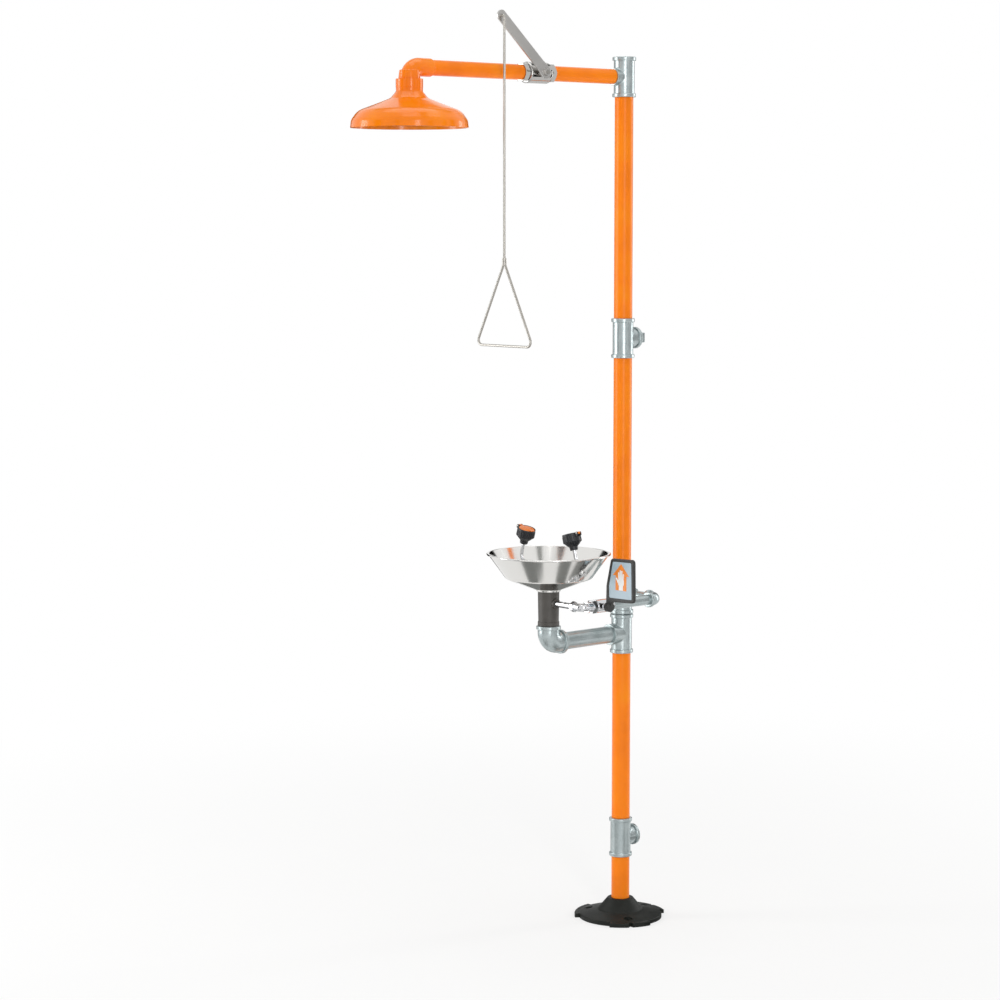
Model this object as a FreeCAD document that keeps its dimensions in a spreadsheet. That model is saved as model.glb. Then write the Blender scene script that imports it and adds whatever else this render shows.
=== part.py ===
import FreeCAD, Part
import math
import os
import re
import Sketcher

# Combination emergency shower and eyewash station, in millimetres.
# +Z is up, the origin is the centre of the floor flange on the floor, the arm and the bowl reach
# out along -Y, and the eyewash supply passes the bowl on the +X side.

doc = FreeCAD.newDocument("SafetyShower")
sheet = doc.addObject("Spreadsheet::Sheet", "Sizes")

DRIVING = [
    # floor flange
    ("flange_radius", 123, "outer radius at the three tabs"),
    ("flange_disc_radius", 111, "radius between the tabs"),
    ("flange_rim", 11, "thickness at the rim"),
    ("flange_foot_radius", 60, "radius where the cone meets the disc"),
    ("flange_foot_rise", 22, "height of that corner"),
    ("flange_neck_radius", 34, "radius of the neck"),
    ("flange_top", 53, "height of the neck"),
    ("flange_seat", 20, "height at which the lower pipe bottoms"),
    ("flange_tab_angle", 54, "sector of one tab, in degrees"),
    ("notch_depth", 11, "depth of the notch in each tab"),
    ("notch_half_width", 7, "half width of the notch at the edge"),
    ("bolt_circle", 180, "pitch circle diameter of the floor bolts"),
    ("bolt_hole_radius", 5.5, "radius of a floor bolt hole"),
    ("bolt_spot_radius", 12, "radius of the flat round each bolt hole"),
    ("bolt_spot_rise", 12.5, "height of that flat"),
    ("flange_round", 3, "rounding of the flange's edges"),
    ("flange_sweep", 9, "rounding where the cone meets the disc"),
    ("tab_overlap", 14, "how far a tab reaches into the disc"),
    ("notch_round", 1.5, "rounding at the bottom of a notch"),
    # stanchion pipes, covers and the heights of the tees
    ("stanchion_pipe_od", 42.2, "pipe inside the stanchion covers"),
    ("stanchion_wall", 3.6, "wall of that pipe"),
    ("cover_play", 0.65, "gap between the stanchion pipe and its orange cover"),
    ("cover_wall", 2.4, "wall of the covers"),
    ("cover_edge", 0.8, "rounding at the ends of a cover"),
    ("cover_gap", 0.2, "gap round a cover in the flange"),
    ("cover_sink", 8, "depth of a cover in the flange"),
    ("waste_tee_rise", 219, "height of the waste outlet tee"),
    ("drain_tee_rise", 770, "height of the tee that takes the bowl drain"),
    ("inlet_tee_rise", 1554, "height of the plugged side inlet tee"),
    ("arm_rise", 2233, "height of the top tee and of the arm"),
    # cast tees
    ("tee_half", 52, "half length of a tee along its run"),
    ("tee_neck", 20, "how far a tee's branch stands out from its run"),
    ("arm_neck", 15, "how far the top tee's branch stands out from its run"),
    ("tee_wall", 5.9, "wall of a run round its pipe"),
    ("tee_band", 10, "length of an end band"),
    ("band_height", 3.6, "height of a band above the body"),
    ("low_band", 1.6, "height of the band on the drain branch"),
    ("band_round", 2.4, "rounding at the end of a plain leg"),
    ("socket_depth", 20, "thread length in a tee"),
    ("branch_wall", 3.6, "wall of a branch round its socket"),
    ("cast_blend", 4, "fillet where a branch leaves its run"),
    ("thread_gap", 0.05, "radial gap of a made-up thread"),
    ("stack_gap", 2, "gap between the drain tee and the supply tee"),
    ("blind_wall", 5, "blank inside the nipple between them"),
    # plug of the side inlet
    ("plug_flats", 26, "across flats of the square head"),
    ("plug_head", 15, "length of the square head"),
    ("plug_collar", 5, "length of the round collar"),
    ("plug_round", 2, "rounding of the plug's edges"),
    # shower arm
    ("arm_pipe_od", 33.4, "pipe of the shower arm"),
    ("arm_wall", 3.4, "wall of that pipe"),
    ("arm_cover_play", 0.3, "gap between the arm pipe and its orange cover"),
    ("arm_cover_wall", 2.2, "wall of that cover"),
    ("head_reach", 721, "stanchion axis to the axis of the shower head"),
    ("arm_elbow_reach", 65, "elbow centre to the end of its socket"),
    ("arm_elbow_drop", 29, "elbow centre to its lower face"),
    ("arm_elbow_socket_radius", 22.6, "outside of the elbow's socket"),
    ("arm_elbow_leg_radius", 27, "outside of the elbow's lower leg"),
    ("arm_socket_depth", 26, "depth of the elbow's socket"),
    ("spigot_length", 30, "length of the spigot below the elbow"),
    # shower head
    ("collar_radius", 33.4, "outer radius of the head's collar"),
    ("collar_height", 21, "height of that collar"),
    ("head_radius", 144.6, "radius of the rim"),
    ("head_height", 97, "rim to the top of the bell"),
    ("head_wall", 3, "wall of the bell"),
    ("bell_throat", 0.32, "throat radius, as a share of the rim's"),
    ("bell_throat_rise", 0.735, "height of the throat, as a share of the bell's"),
    ("bell_brow", 0.55, "brow radius, as a share of the rim's"),
    ("bell_brow_rise", 0.6, "height of the brow, as a share of the bell's"),
    ("bell_skirt", 0.875, "skirt radius, as a share of the rim's"),
    ("bell_skirt_rise", 0.42, "height of the skirt, as a share of the bell's"),
    ("bell_lip", 0.985, "lip radius, as a share of the rim's"),
    ("bell_lip_rise", 0.19, "height of the lip, as a share of the bell's"),
    ("plate_sink", 9, "spray plate above the rim"),
    ("plate_thick", 2.5, "thickness of the spray plate"),
    ("jet_radius", 2.2, "radius of a spray hole"),
    # shower valve
    ("shower_valve_reach", 309, "stanchion axis to the valve stem"),
    ("shower_valve_half", 52, "half length of the valve body"),
    ("shower_valve_barrel", 27, "radius of the barrel"),
    ("shower_valve_barrel_half", 36, "half length of the barrel"),
    ("shower_valve_flats", 44, "across flats of the hexagon ends"),
    ("shower_valve_hex", 14, "length of a hexagon end"),
    ("shower_valve_socket", 16, "thread length in the valve"),
    ("shower_valve_cavity", 21.6, "radius of the ball chamber"),
    ("shower_valve_seat", 18, "valve centre to the outer face of a seat"),
    ("shower_valve_ball", 18.5, "radius of the ball"),
    ("shower_valve_port", 12, "radius of the port in the ball"),
    ("shower_valve_stem", 5, "radius of the stem"),
    ("shower_valve_boss", 11.5, "radius of the stem boss"),
    ("shower_valve_boss_reach", 31, "valve centre to the face of the boss"),
    ("shower_valve_gland", 5, "height of the packing nut"),
    ("shower_valve_gland_flats", 21, "across flats of the packing nut"),
    ("shower_valve_tang", 4, "thickness of the tang that turns the ball"),
    # lever and pull rod
    ("lever_length", 200, "between the two holes of the lever"),
    ("lever_width", 28, "width of the lever"),
    ("lever_eye_width", 33, "width of the lever round the stem"),
    ("lever_thick", 4.5, "thickness of the lever"),
    ("lever_edge", 0.6, "rounding of the lever's edges"),
    ("lever_gap", 0.6, "gap between the packing nut and a lever"),
    ("lever_rise_angle", 42, "angle of the closed lever above the horizontal, in degrees"),
    ("lever_nut_flats", 17, "across flats of the lever nut"),
    ("lever_nut_height", 6, "height of the lever nut"),
    ("rod_radius", 3.2, "radius of the pull rod"),
    ("rod_drop", 610, "lever tip to the top of the pull triangle"),
    ("rod_stand", 8, "face of the lever to the axis of the rod"),
    ("triangle_half", 107, "half width of the pull triangle"),
    ("triangle_height", 208, "height of the pull triangle"),
    ("triangle_round", 13, "bend radius at its lower corners"),
    ("ferrule_radius", 5.4, "radius of the ferrule at its apex"),
    ("ferrule_length", 20, "length of that ferrule"),
    ("run_gap", 0.06, "radial gap of a running fit"),
    # bowl and its drain
    ("bowl_reach", 262, "stanchion axis to the bowl's axis"),
    ("bowl_rim_radius", 161, "outer radius of the rolled rim"),
    ("bowl_rim_rise", 1006, "height of the rim"),
    ("bowl_break_radius", 112, "radius where the side meets the bottom cone"),
    ("bowl_break_rise", 940, "height of that corner"),
    ("bowl_floor_radius", 38, "radius of the flat floor"),
    ("bowl_floor_rise", 912, "height of the floor's underside"),
    ("bowl_wall", 1.6, "wall of the bowl"),
    ("bowl_lip", 4.6, "size of the rolled rim"),
    ("drain_pipe_od", 45, "pipe of the bowl drain"),
    ("drain_wall", 3.4, "wall of that pipe"),
    ("drain_reach", 46, "drain elbow centre to its ends"),
    ("drain_socket", 17, "thread length in the drain elbow"),
    ("drain_body_radius", 28, "radius of the drain elbow's body"),
    ("locknut_radius", 31, "radius of the nut under the bowl"),
    ("locknut_height", 6, "height of that nut"),
    ("strainer_radius", 34, "radius of the strainer's flange"),
    ("strainer_hole", 3, "radius of a strainer hole"),
    ("sleeve_radius", 28, "outer radius of the waste sleeve"),
    ("sleeve_wall", 3.2, "wall of the sleeve"),
    ("sleeve_top", 905.5, "height of its upper end"),
    ("sleeve_ring", 11, "height of the raised ring at its foot"),
    # spray heads
    ("spray_spread", 92, "bowl axis to the middle of a spray head"),
    ("spray_rise", 1022, "height of the foot of a spray head"),
    ("spray_tilt", 17, "inward tilt of a spray head, in degrees"),
    ("spray_radius", 23.4, "outer radius of a spray head"),
    ("spray_height", 38, "height of a spray head without its cap"),
    ("spray_wall", 2.4, "wall of a spray head"),
    ("yoke_radius", 4.6, "radius of the two stems"),
    ("yoke_rise", 946, "height of the yoke's hub"),
    ("yoke_reach", 62, "bowl axis to the bend of a stem"),
    ("spray_lip", 4.6, "height of the ring round a dust cap"),
    ("spray_lip_wall", 1.8, "wall of that ring"),
    ("cap_height", 5.4, "height of a dust cap"),
    ("cap_gap", 0.5, "gap between a dust cap and its head"),
    ("tab_reach", 4, "how far the finger tab of a cap stands out"),
    ("hinge_reach", 28, "spray head axis to the cap's hinge pin"),
    ("hinge_rise", 40, "foot of a spray head to that pin"),
    ("hinge_pin", 1.5, "radius of the hinge pin"),
    ("hinge_half", 7.5, "half length of the hinge"),
    ("knuckle_half", 3.9, "half length of the cap's knuckle"),
    # eyewash supply
    ("supply_side", 130, "stanchion axis to the supply pipe beside it"),
    ("supply_pipe_od", 26.7, "supply pipe"),
    ("supply_wall", 2.9, "wall of that pipe"),
    ("supply_elbow_reach", 31, "supply elbow centre to its ends"),
    ("supply_elbow_wall", 3.4, "wall of that elbow round its pipe"),
    ("supply_socket", 12, "thread length in the small fittings"),
    ("tube_od", 16, "chromed supply tube"),
    ("tube_wall", 1.2, "wall of that tube"),
    ("bend_inset", 2.5, "outside of the drain pipe in to the start of the tube's bend"),
    ("bend_reach", 27, "chromed elbow centre to its ends"),
    ("bend_round", 12, "bend radius of the chromed elbow"),
    ("bend_wall", 2.4, "wall of the chromed elbow round the tube"),
    ("bend_collar", 14.6, "radius of the collar next to the valve"),
    ("bend_groove", 1.8, "depth and width of the groove in that collar"),
    ("eyewash_valve_reach", 199, "stanchion axis to the eyewash valve's stem"),
    ("eyewash_valve_half", 36, "half length of the valve body"),
    ("eyewash_valve_barrel", 17.5, "radius of the barrel"),
    ("eyewash_valve_barrel_half", 21, "half length of the barrel"),
    ("eyewash_valve_flats", 32, "across flats of the hexagon ends"),
    ("eyewash_valve_hex", 12, "length of a hexagon end"),
    ("eyewash_valve_socket", 11, "thread length in the valve"),
    ("eyewash_valve_cavity", 13.6, "radius of the ball chamber"),
    ("eyewash_valve_seat", 12, "valve centre to the outer face of a seat"),
    ("eyewash_valve_ball", 11.4, "radius of the ball"),
    ("eyewash_valve_port", 6.8, "radius of the port in the ball"),
    ("eyewash_valve_stem", 3.6, "radius of the stem"),
    ("eyewash_valve_boss", 8.4, "radius of the stem boss"),
    ("eyewash_valve_boss_reach", 20, "valve centre to the face of the boss"),
    ("eyewash_valve_gland", 3.5, "height of the packing nut"),
    ("eyewash_valve_gland_flats", 14, "across flats of the packing nut"),
    ("eyewash_valve_tang", 3, "thickness of the tang that turns the ball"),
    # push flag
    ("hub_radius", 12.5, "radius of the flag's hub"),
    ("hub_length", 16, "length of the hub along the stem"),
    ("flag_thick", 9, "thickness of the flag"),
    ("flag_left", 20, "stem side of the flag, from the valve's axis, low down"),
    ("flag_left_top", 42, "stem side of the flag at the top"),
    ("flag_right", 127, "far side of the flag from the valve's axis"),
    ("flag_low", 15, "lower edge above the stem"),
    ("flag_knee", 56, "height at which the stem side starts to slope"),
    ("flag_high", 127, "upper edge above the stem"),
    ("flag_round", 9, "rounding of the flag's corners"),
    ("flag_border", 7, "border round the label"),
    ("flag_edge", 2.2, "rounding of the flag's edges"),
    ("label_sink", 1.6, "depth of the label's recess"),
    ("label_thick", 0.9, "thickness of the label"),
    ("label_gap", 0.3, "gap round the label"),
]

for row, (alias, value, note) in enumerate(DRIVING, start=1):
    sheet.set("A%d" % row, note)
    sheet.set("B%d" % row, str(value))
    sheet.setAlias("B%d" % row, alias)
doc.recompute()

# Sizes that follow from the driving ones.
WORKED_OUT = {
    "supply_rise": "drain_tee_rise + 2 * tee_half + stack_gap",
    "stanchion_bore": "stanchion_pipe_od / 2 - stanchion_wall",
    "arm_bore": "arm_pipe_od / 2 - arm_wall",
    "supply_bore": "supply_pipe_od / 2 - supply_wall",
    "lever_base": "shower_valve_boss_reach + shower_valve_gland + lever_gap",
    "hub_base": "eyewash_valve_boss_reach + eyewash_valve_gland + lever_gap",
    "tip_forward": "lever_length * cos(lever_rise_angle)",
    "tip_up": "lever_length * sin(lever_rise_angle)",
    "rod_side": "lever_base + lever_thick + rod_stand",
    "elbow_foot": "arm_rise - arm_elbow_drop",
    "head_top": "elbow_foot - collar_height",
    "head_rim": "head_top - head_height",
    "spray_foot": "spray_spread + spray_height / 2 * sin(spray_tilt)",
    "tube_radius": "tube_od / 2",
    "sleeve_bottom": "drain_tee_rise + drain_reach",
    "drain_bore": "drain_pipe_od / 2 - drain_wall",
    "tee_body_radius": "stanchion_pipe_od / 2 + tee_wall",
    "tee_reach": "tee_body_radius + tee_neck",
    "stanchion_cover_od": "stanchion_pipe_od + (cover_play + cover_wall) * 2",
    "arm_cover_od": "arm_pipe_od + (arm_cover_play + arm_cover_wall) * 2",
    "arm_branch_reach": "tee_body_radius + arm_neck",
    "tube_bend": "drain_pipe_od / 2 - bend_inset",
    "cap_radius": "spray_radius - spray_lip_wall - cap_gap",
}

ALIASES = {alias for alias, value, note in DRIVING}


def link(text):
    """Turn a size written in plain words into an expression on the sheet."""
    def swap(match):
        word = match.group(0)
        if word in WORKED_OUT:
            return "(" + link(WORKED_OUT[word]) + ")"
        return "Sizes." + word if word in ALIASES else word
    return re.sub(r"[a-z][a-z_]*", swap, str(text))


def size(text):
    return float(sheet.evalExpression(link(text)))


def bind(thing, slot, text):
    thing.setExpression(slot, link(text))


# ---------------------------------------------------------------- directions
RIGHT = FreeCAD.Vector(1, 0, 0)
LEFT = FreeCAD.Vector(-1, 0, 0)
BACK = FreeCAD.Vector(0, 1, 0)
FRONT = FreeCAD.Vector(0, -1, 0)
UP = FreeCAD.Vector(0, 0, 1)
DOWN = FreeCAD.Vector(0, 0, -1)


def facing(x_way, z_way):
    """Rotation that sends local X and local Z to the two given ways."""
    return FreeCAD.Rotation(x_way, z_way.cross(x_way), z_way, "ZXY")


def place(thing, spot, turn=None):
    thing.Placement = FreeCAD.Placement(FreeCAD.Vector(0, 0, 0), turn or FreeCAD.Rotation())
    for letter, text in zip("xyz", spot):
        if text != "0":
            bind(thing, "Placement.Base." + letter, text)


# ---------------------------------------------------------------- sketches
def new_body(label, spot=("0", "0", "0"), turn=None):
    body = doc.addObject("PartDesign::Body", label)
    body.Label = label
    place(body, spot, turn)
    return body


def plane_of(body, role):
    return [feature for feature in body.Origin.OriginFeatures if feature.Role == role][0]


def new_sketch(body, name, role, lift=None):
    sketch = body.newObject("Sketcher::SketchObject", name)
    sketch.AttachmentSupport = [(plane_of(body, role), "")]
    sketch.MapMode = "FlatFace"
    if lift:
        bind(sketch, "AttachmentOffset.Base.z", lift)
    return sketch


def pin_point(sketch, geometry, end, across, along):
    """Hold one point of a sketch at two sizes measured from the sketch's origin."""
    for kind, text in (("DistanceX", across), ("DistanceY", along)):
        index = sketch.addConstraint(Sketcher.Constraint(kind, -1, 1, geometry, end, size(text)))
        if not str(text).replace(".", "").replace("-", "").isdigit():
            sketch.setExpression("Constraints[%d]" % index, link(text))


def draw(sketch, corners, closed=True):
    """Draw a polygon whose corners are (across, along) or (across, along, rounding) sizes."""
    spots = [FreeCAD.Vector(size(corner[0]), size(corner[1]), 0) for corner in corners]
    count = len(corners)
    rounded = [len(corner) == 3 for corner in corners]
    arrive = list(spots)
    leave = list(spots)
    for i in range(count):
        if rounded[i]:
            back_way = (spots[i - 1] - spots[i]).normalize()
            next_way = (spots[(i + 1) % count] - spots[i]).normalize()
            reach = size(corners[i][2]) / math.tan(back_way.getAngle(next_way) / 2)
            arrive[i] = spots[i] + back_way * reach
            leave[i] = spots[i] + next_way * reach
    lines = []
    for i in range(count if closed else count - 1):
        lines.append(sketch.addGeometry(Part.LineSegment(leave[i], arrive[(i + 1) % count]), False))
    for i in range(count):
        ahead = lines[i] if closed or i < count - 1 else None
        behind = lines[i - 1] if closed or i > 0 else None
        if rounded[i]:
            round_corner(sketch, corners[i], spots[i], arrive[i], leave[i], behind, ahead)
            continue
        if ahead is not None and behind is not None:
            sketch.addConstraint(Sketcher.Constraint("Coincident", behind, 2, ahead, 1))
        if ahead is not None:
            pin_point(sketch, ahead, 1, corners[i][0], corners[i][1])
        else:
            pin_point(sketch, behind, 2, corners[i][0], corners[i][1])


def round_corner(sketch, corner, spot, start, finish, behind, ahead):
    """Join two lines by a tangent arc, with the sharp corner kept as a construction point."""
    radius = size(corner[2])
    turn_left = (spot - start).cross(finish - spot).z > 0
    inward = ((start - spot).normalize() + (finish - spot).normalize()).normalize()
    half = (start - spot).getAngle(finish - spot) / 2
    centre = spot + inward * (radius / math.sin(half))
    first, last = (start, finish) if turn_left else (finish, start)
    angles = [math.atan2(point.y - centre.y, point.x - centre.x) for point in (first, last)]
    circle = Part.Circle(centre, FreeCAD.Vector(0, 0, 1), radius)
    arc = sketch.addGeometry(Part.ArcOfCircle(circle, angles[0], angles[1]), False)
    mark = sketch.addGeometry(Part.Point(spot), True)
    begin, end = (1, 2) if turn_left else (2, 1)
    sketch.addConstraint(Sketcher.Constraint("Tangent", behind, 2, arc, begin))
    sketch.addConstraint(Sketcher.Constraint("Tangent", arc, end, ahead, 1))
    sketch.addConstraint(Sketcher.Constraint("PointOnObject", mark, 1, behind))
    sketch.addConstraint(Sketcher.Constraint("PointOnObject", mark, 1, ahead))
    pin_point(sketch, mark, 1, corner[0], corner[1])
    index = sketch.addConstraint(Sketcher.Constraint("Radius", arc, radius))
    sketch.setExpression("Constraints[%d]" % index, link(corner[2]))


def draw_circle(sketch, radius, across="0", along="0"):
    centre = FreeCAD.Vector(size(across), size(along), 0)
    circle = sketch.addGeometry(Part.Circle(centre, FreeCAD.Vector(0, 0, 1), size(radius)), False)
    pin_point(sketch, circle, 3, across, along)
    index = sketch.addConstraint(Sketcher.Constraint("Radius", circle, size(radius)))
    sketch.setExpression("Constraints[%d]" % index, link(radius))


# ---------------------------------------------------------------- features
def turn_profile(body, name, corners, axis="V_Axis", groove=False, angle=None):
    """Revolve a profile drawn on the body's XZ plane about its local Z or X axis."""
    sketch = new_sketch(body, name + "_profile", "XZ_Plane")
    draw(sketch, corners)
    kind = "PartDesign::Groove" if groove else "PartDesign::Revolution"
    feature = body.newObject(kind, name)
    feature.Profile = sketch
    feature.ReferenceAxis = (sketch, [axis])
    feature.Angle = 360
    if angle:
        feature.Midplane = True
        bind(feature, "Angle", angle)
    return feature


def extrude(body, name, sketch, length, cut=False, both=False, flip=False):
    feature = body.newObject("PartDesign::Pocket" if cut else "PartDesign::Pad", name)
    feature.Profile = sketch
    feature.SideType = "Symmetric" if both else "One side"
    feature.Reversed = flip
    bind(feature, "Length", length)
    return feature


def soften(body, name, solid, letter, levels, radius):
    """Fillet every edge that lies wholly in one of the planes across an axis at these levels."""
    names = []
    for index, edge in enumerate(solid.Shape.Edges, start=1):
        box = edge.BoundBox
        thick = getattr(box, letter + "Length")
        low = getattr(box, letter + "Min")
        if thick < 1e-4 and min(abs(low - size(level)) for level in levels) < 1e-4:
            names.append("Edge%d" % index)
    fillet = body.newObject("PartDesign::Fillet", name)
    fillet.Base = (solid, names)
    bind(fillet, "Radius", radius)


def hexagon(flats):
    """Corners of a hexagon from its width across flats."""
    ring = []
    for step in range(6):
        across = "(%s) / sqrt(3) * cos(%d)" % (flats, 60 * step)
        along = "(%s) / sqrt(3) * sin(%d)" % (flats, 60 * step)
        ring.append((across, along))
    return ring


def hex_block(body, name, flats, base, height):
    """Hexagon across flats, standing on the body's local Z axis, with both ends chamfered."""
    sketch = new_sketch(body, name + "_hexagon", "XY_Plane", base)
    draw(sketch, hexagon(flats))
    extrude(body, name, sketch, height)
    top = "(%s) + (%s)" % (base, height)
    edge = "(%s) / 2" % flats
    for end, level, sense in (("low", base, "+"), ("high", top, "-")):
        corner = [
            (edge, level),
            ("%s * 1.2" % edge, level),
            ("%s * 1.2" % edge, "%s %s %s * 0.1" % (level, sense, edge)),
        ]
        turn_profile(body, "%s_%s_chamfer" % (name, end), corner, groove=True)


def sweep(body, name, corners, radius, cut=False, role="XZ_Plane"):
    """Round bar along a path drawn on one of the body's planes."""
    path = new_sketch(body, name + "_path", role)
    draw(path, corners, closed=False)
    doc.recompute()
    section = body.newObject("Sketcher::SketchObject", name + "_section")
    section.AttachmentSupport = [(path, "Edge1")]
    section.MapMode = "NormalToEdge"
    section.MapPathParameter = 0
    draw_circle(section, radius)
    kind = "PartDesign::SubtractivePipe" if cut else "PartDesign::AdditivePipe"
    feature = body.newObject(kind, name)
    feature.Profile = section
    feature.Spine = (path, [])
    return feature


def ring_pattern(body, name, originals, count, axis_sketch, angle="360"):
    pattern = body.newObject("PartDesign::PolarPattern", name)
    pattern.Originals = originals
    pattern.Axis = (axis_sketch, ["N_Axis"])
    bind(pattern, "Angle", angle)
    pattern.Occurrences = count
    body.Tip = pattern
    return pattern


# ---------------------------------------------------------------- shared pieces
def tube_outline(inner, outer, start, finish):
    return [(inner, start), (outer, start), (outer, finish), (inner, finish)]


def straight_tube(label, inner, outer, start, finish, spot=("0", "0", "0"), turn=None):
    body = new_body(label, spot, turn)
    turn_profile(body, label + "_wall", tube_outline(inner, outer, start, finish))
    return body


def cover(label, inner, outer, start, finish, spot=("0", "0", "0"), turn=None):
    """Plastic cover: a tube whose outer edges are rounded at both ends."""
    body = new_body(label, spot, turn)
    outline = [(inner, start), (outer, start, "cover_edge"), (outer, finish, "cover_edge"),
               (inner, finish)]
    turn_profile(body, label + "_wall", outline)
    return body


def banded_end(radius, end, inwards, start, height="band_height"):
    """Outline of a cast leg from its start to its banded end; inwards is + or -."""
    band = "%s + %s" % (radius, height)
    shoulder = "%s %s tee_band" % (end, inwards)
    return [
        ("0", start),
        (radius, start),
        (radius, shoulder),
        (band, shoulder, "%s * 0.6" % height),
        (band, end, "%s * 0.6" % height),
        ("0", end),
    ]


def blend_joint(body, name, joined):
    """Fillet where two round castings meet: the only edges there that are neither arc nor line."""
    doc.recompute()
    names = []
    for index, edge in enumerate(joined.Shape.Edges, start=1):
        if edge.Curve.TypeId not in ("Part::GeomLine", "Part::GeomCircle"):
            names.append("Edge%d" % index)
    fillet = body.newObject("PartDesign::Fillet", name)
    fillet.Base = (joined, names)
    bind(fillet, "Radius", "cast_blend")


def lying(corners):
    """The same outline with its two directions exchanged."""
    return [(corner[1], corner[0]) + tuple(corner[2:]) for corner in corners]


def tee(label, spot, turn, branch_pipe, branch_bore, reach="tee_reach", band="band_height"):
    """Cast tee: run along local Z, branch along local X, threaded at all three ends."""
    body = new_body(label, spot, turn)
    branch_radius = "(%s) / 2 + thread_gap + branch_wall" % branch_pipe
    upper = banded_end("tee_body_radius", "tee_half", "-", "0")
    lower = banded_end("tee_body_radius", "-tee_half", "+", "0")
    turn_profile(body, label + "_upper_run", upper)
    turn_profile(body, label + "_lower_run", lower)
    branch = banded_end(branch_radius, reach, "-", "0", band)
    joined = turn_profile(body, label + "_branch", lying(branch), axis="H_Axis")
    blend_joint(body, label + "_throat", joined)
    socket = "stanchion_pipe_od / 2 + thread_gap"
    shoulder = "tee_half - socket_depth"
    run_bore = [
        ("0", "-tee_half"),
        (socket, "-tee_half"),
        (socket, "-(%s)" % shoulder),
        ("stanchion_bore", "-(%s)" % shoulder),
        ("stanchion_bore", shoulder),
        (socket, shoulder),
        (socket, "tee_half"),
        ("0", "tee_half"),
    ]
    turn_profile(body, label + "_run_bore", run_bore, groove=True)
    branch_socket = "(%s) / 2 + thread_gap" % branch_pipe
    branch_hollow = [
        ("0", "0"),
        (branch_bore, "0"),
        (branch_bore, "%s - socket_depth" % reach),
        (branch_socket, "%s - socket_depth" % reach),
        (branch_socket, reach),
        ("0", reach),
    ]
    turn_profile(body, label + "_branch_bore", lying(branch_hollow), axis="H_Axis", groove=True)
    return body


def elbow(label, spot, turn, radius, reach, pipe_od, bore, socket, banded=True):
    """Ninety degree elbow with its legs along local X and local Z."""
    body = new_body(label, spot, turn)
    bend = "(%s) - (%s)" % (reach, socket)
    leg = banded_end(radius, reach, "-", bend)
    if not banded:
        leg = [("0", bend), (radius, bend), (radius, reach, "band_round"), ("0", reach)]
    turn_profile(body, label + "_standing_leg", leg)
    turn_profile(body, label + "_lying_leg", lying(leg), axis="H_Axis")
    path = [(bend, "0"), ("0", "0", "(%s) * 0.98" % bend), ("0", bend)]
    sweep(body, label + "_bend", path, radius)
    sweep(body, label + "_passage", path, bore, cut=True)
    hole = "(%s) / 2 + thread_gap" % pipe_od
    hollow = [("0", bend), (hole, bend), (hole, reach), ("0", reach)]
    turn_profile(body, label + "_standing_socket", hollow, groove=True)
    turn_profile(body, label + "_lying_socket", lying(hollow), axis="H_Axis", groove=True)
    return body


def nut(label, spot, turn, flats, base, height, hole):
    body = new_body(label, spot, turn)
    hex_block(body, label + "_block", flats, base, height)
    bore = tube_outline("0", hole, base, "(%s) + (%s)" % (base, height))
    turn_profile(body, label + "_bore", bore, groove=True)
    return body


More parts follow.
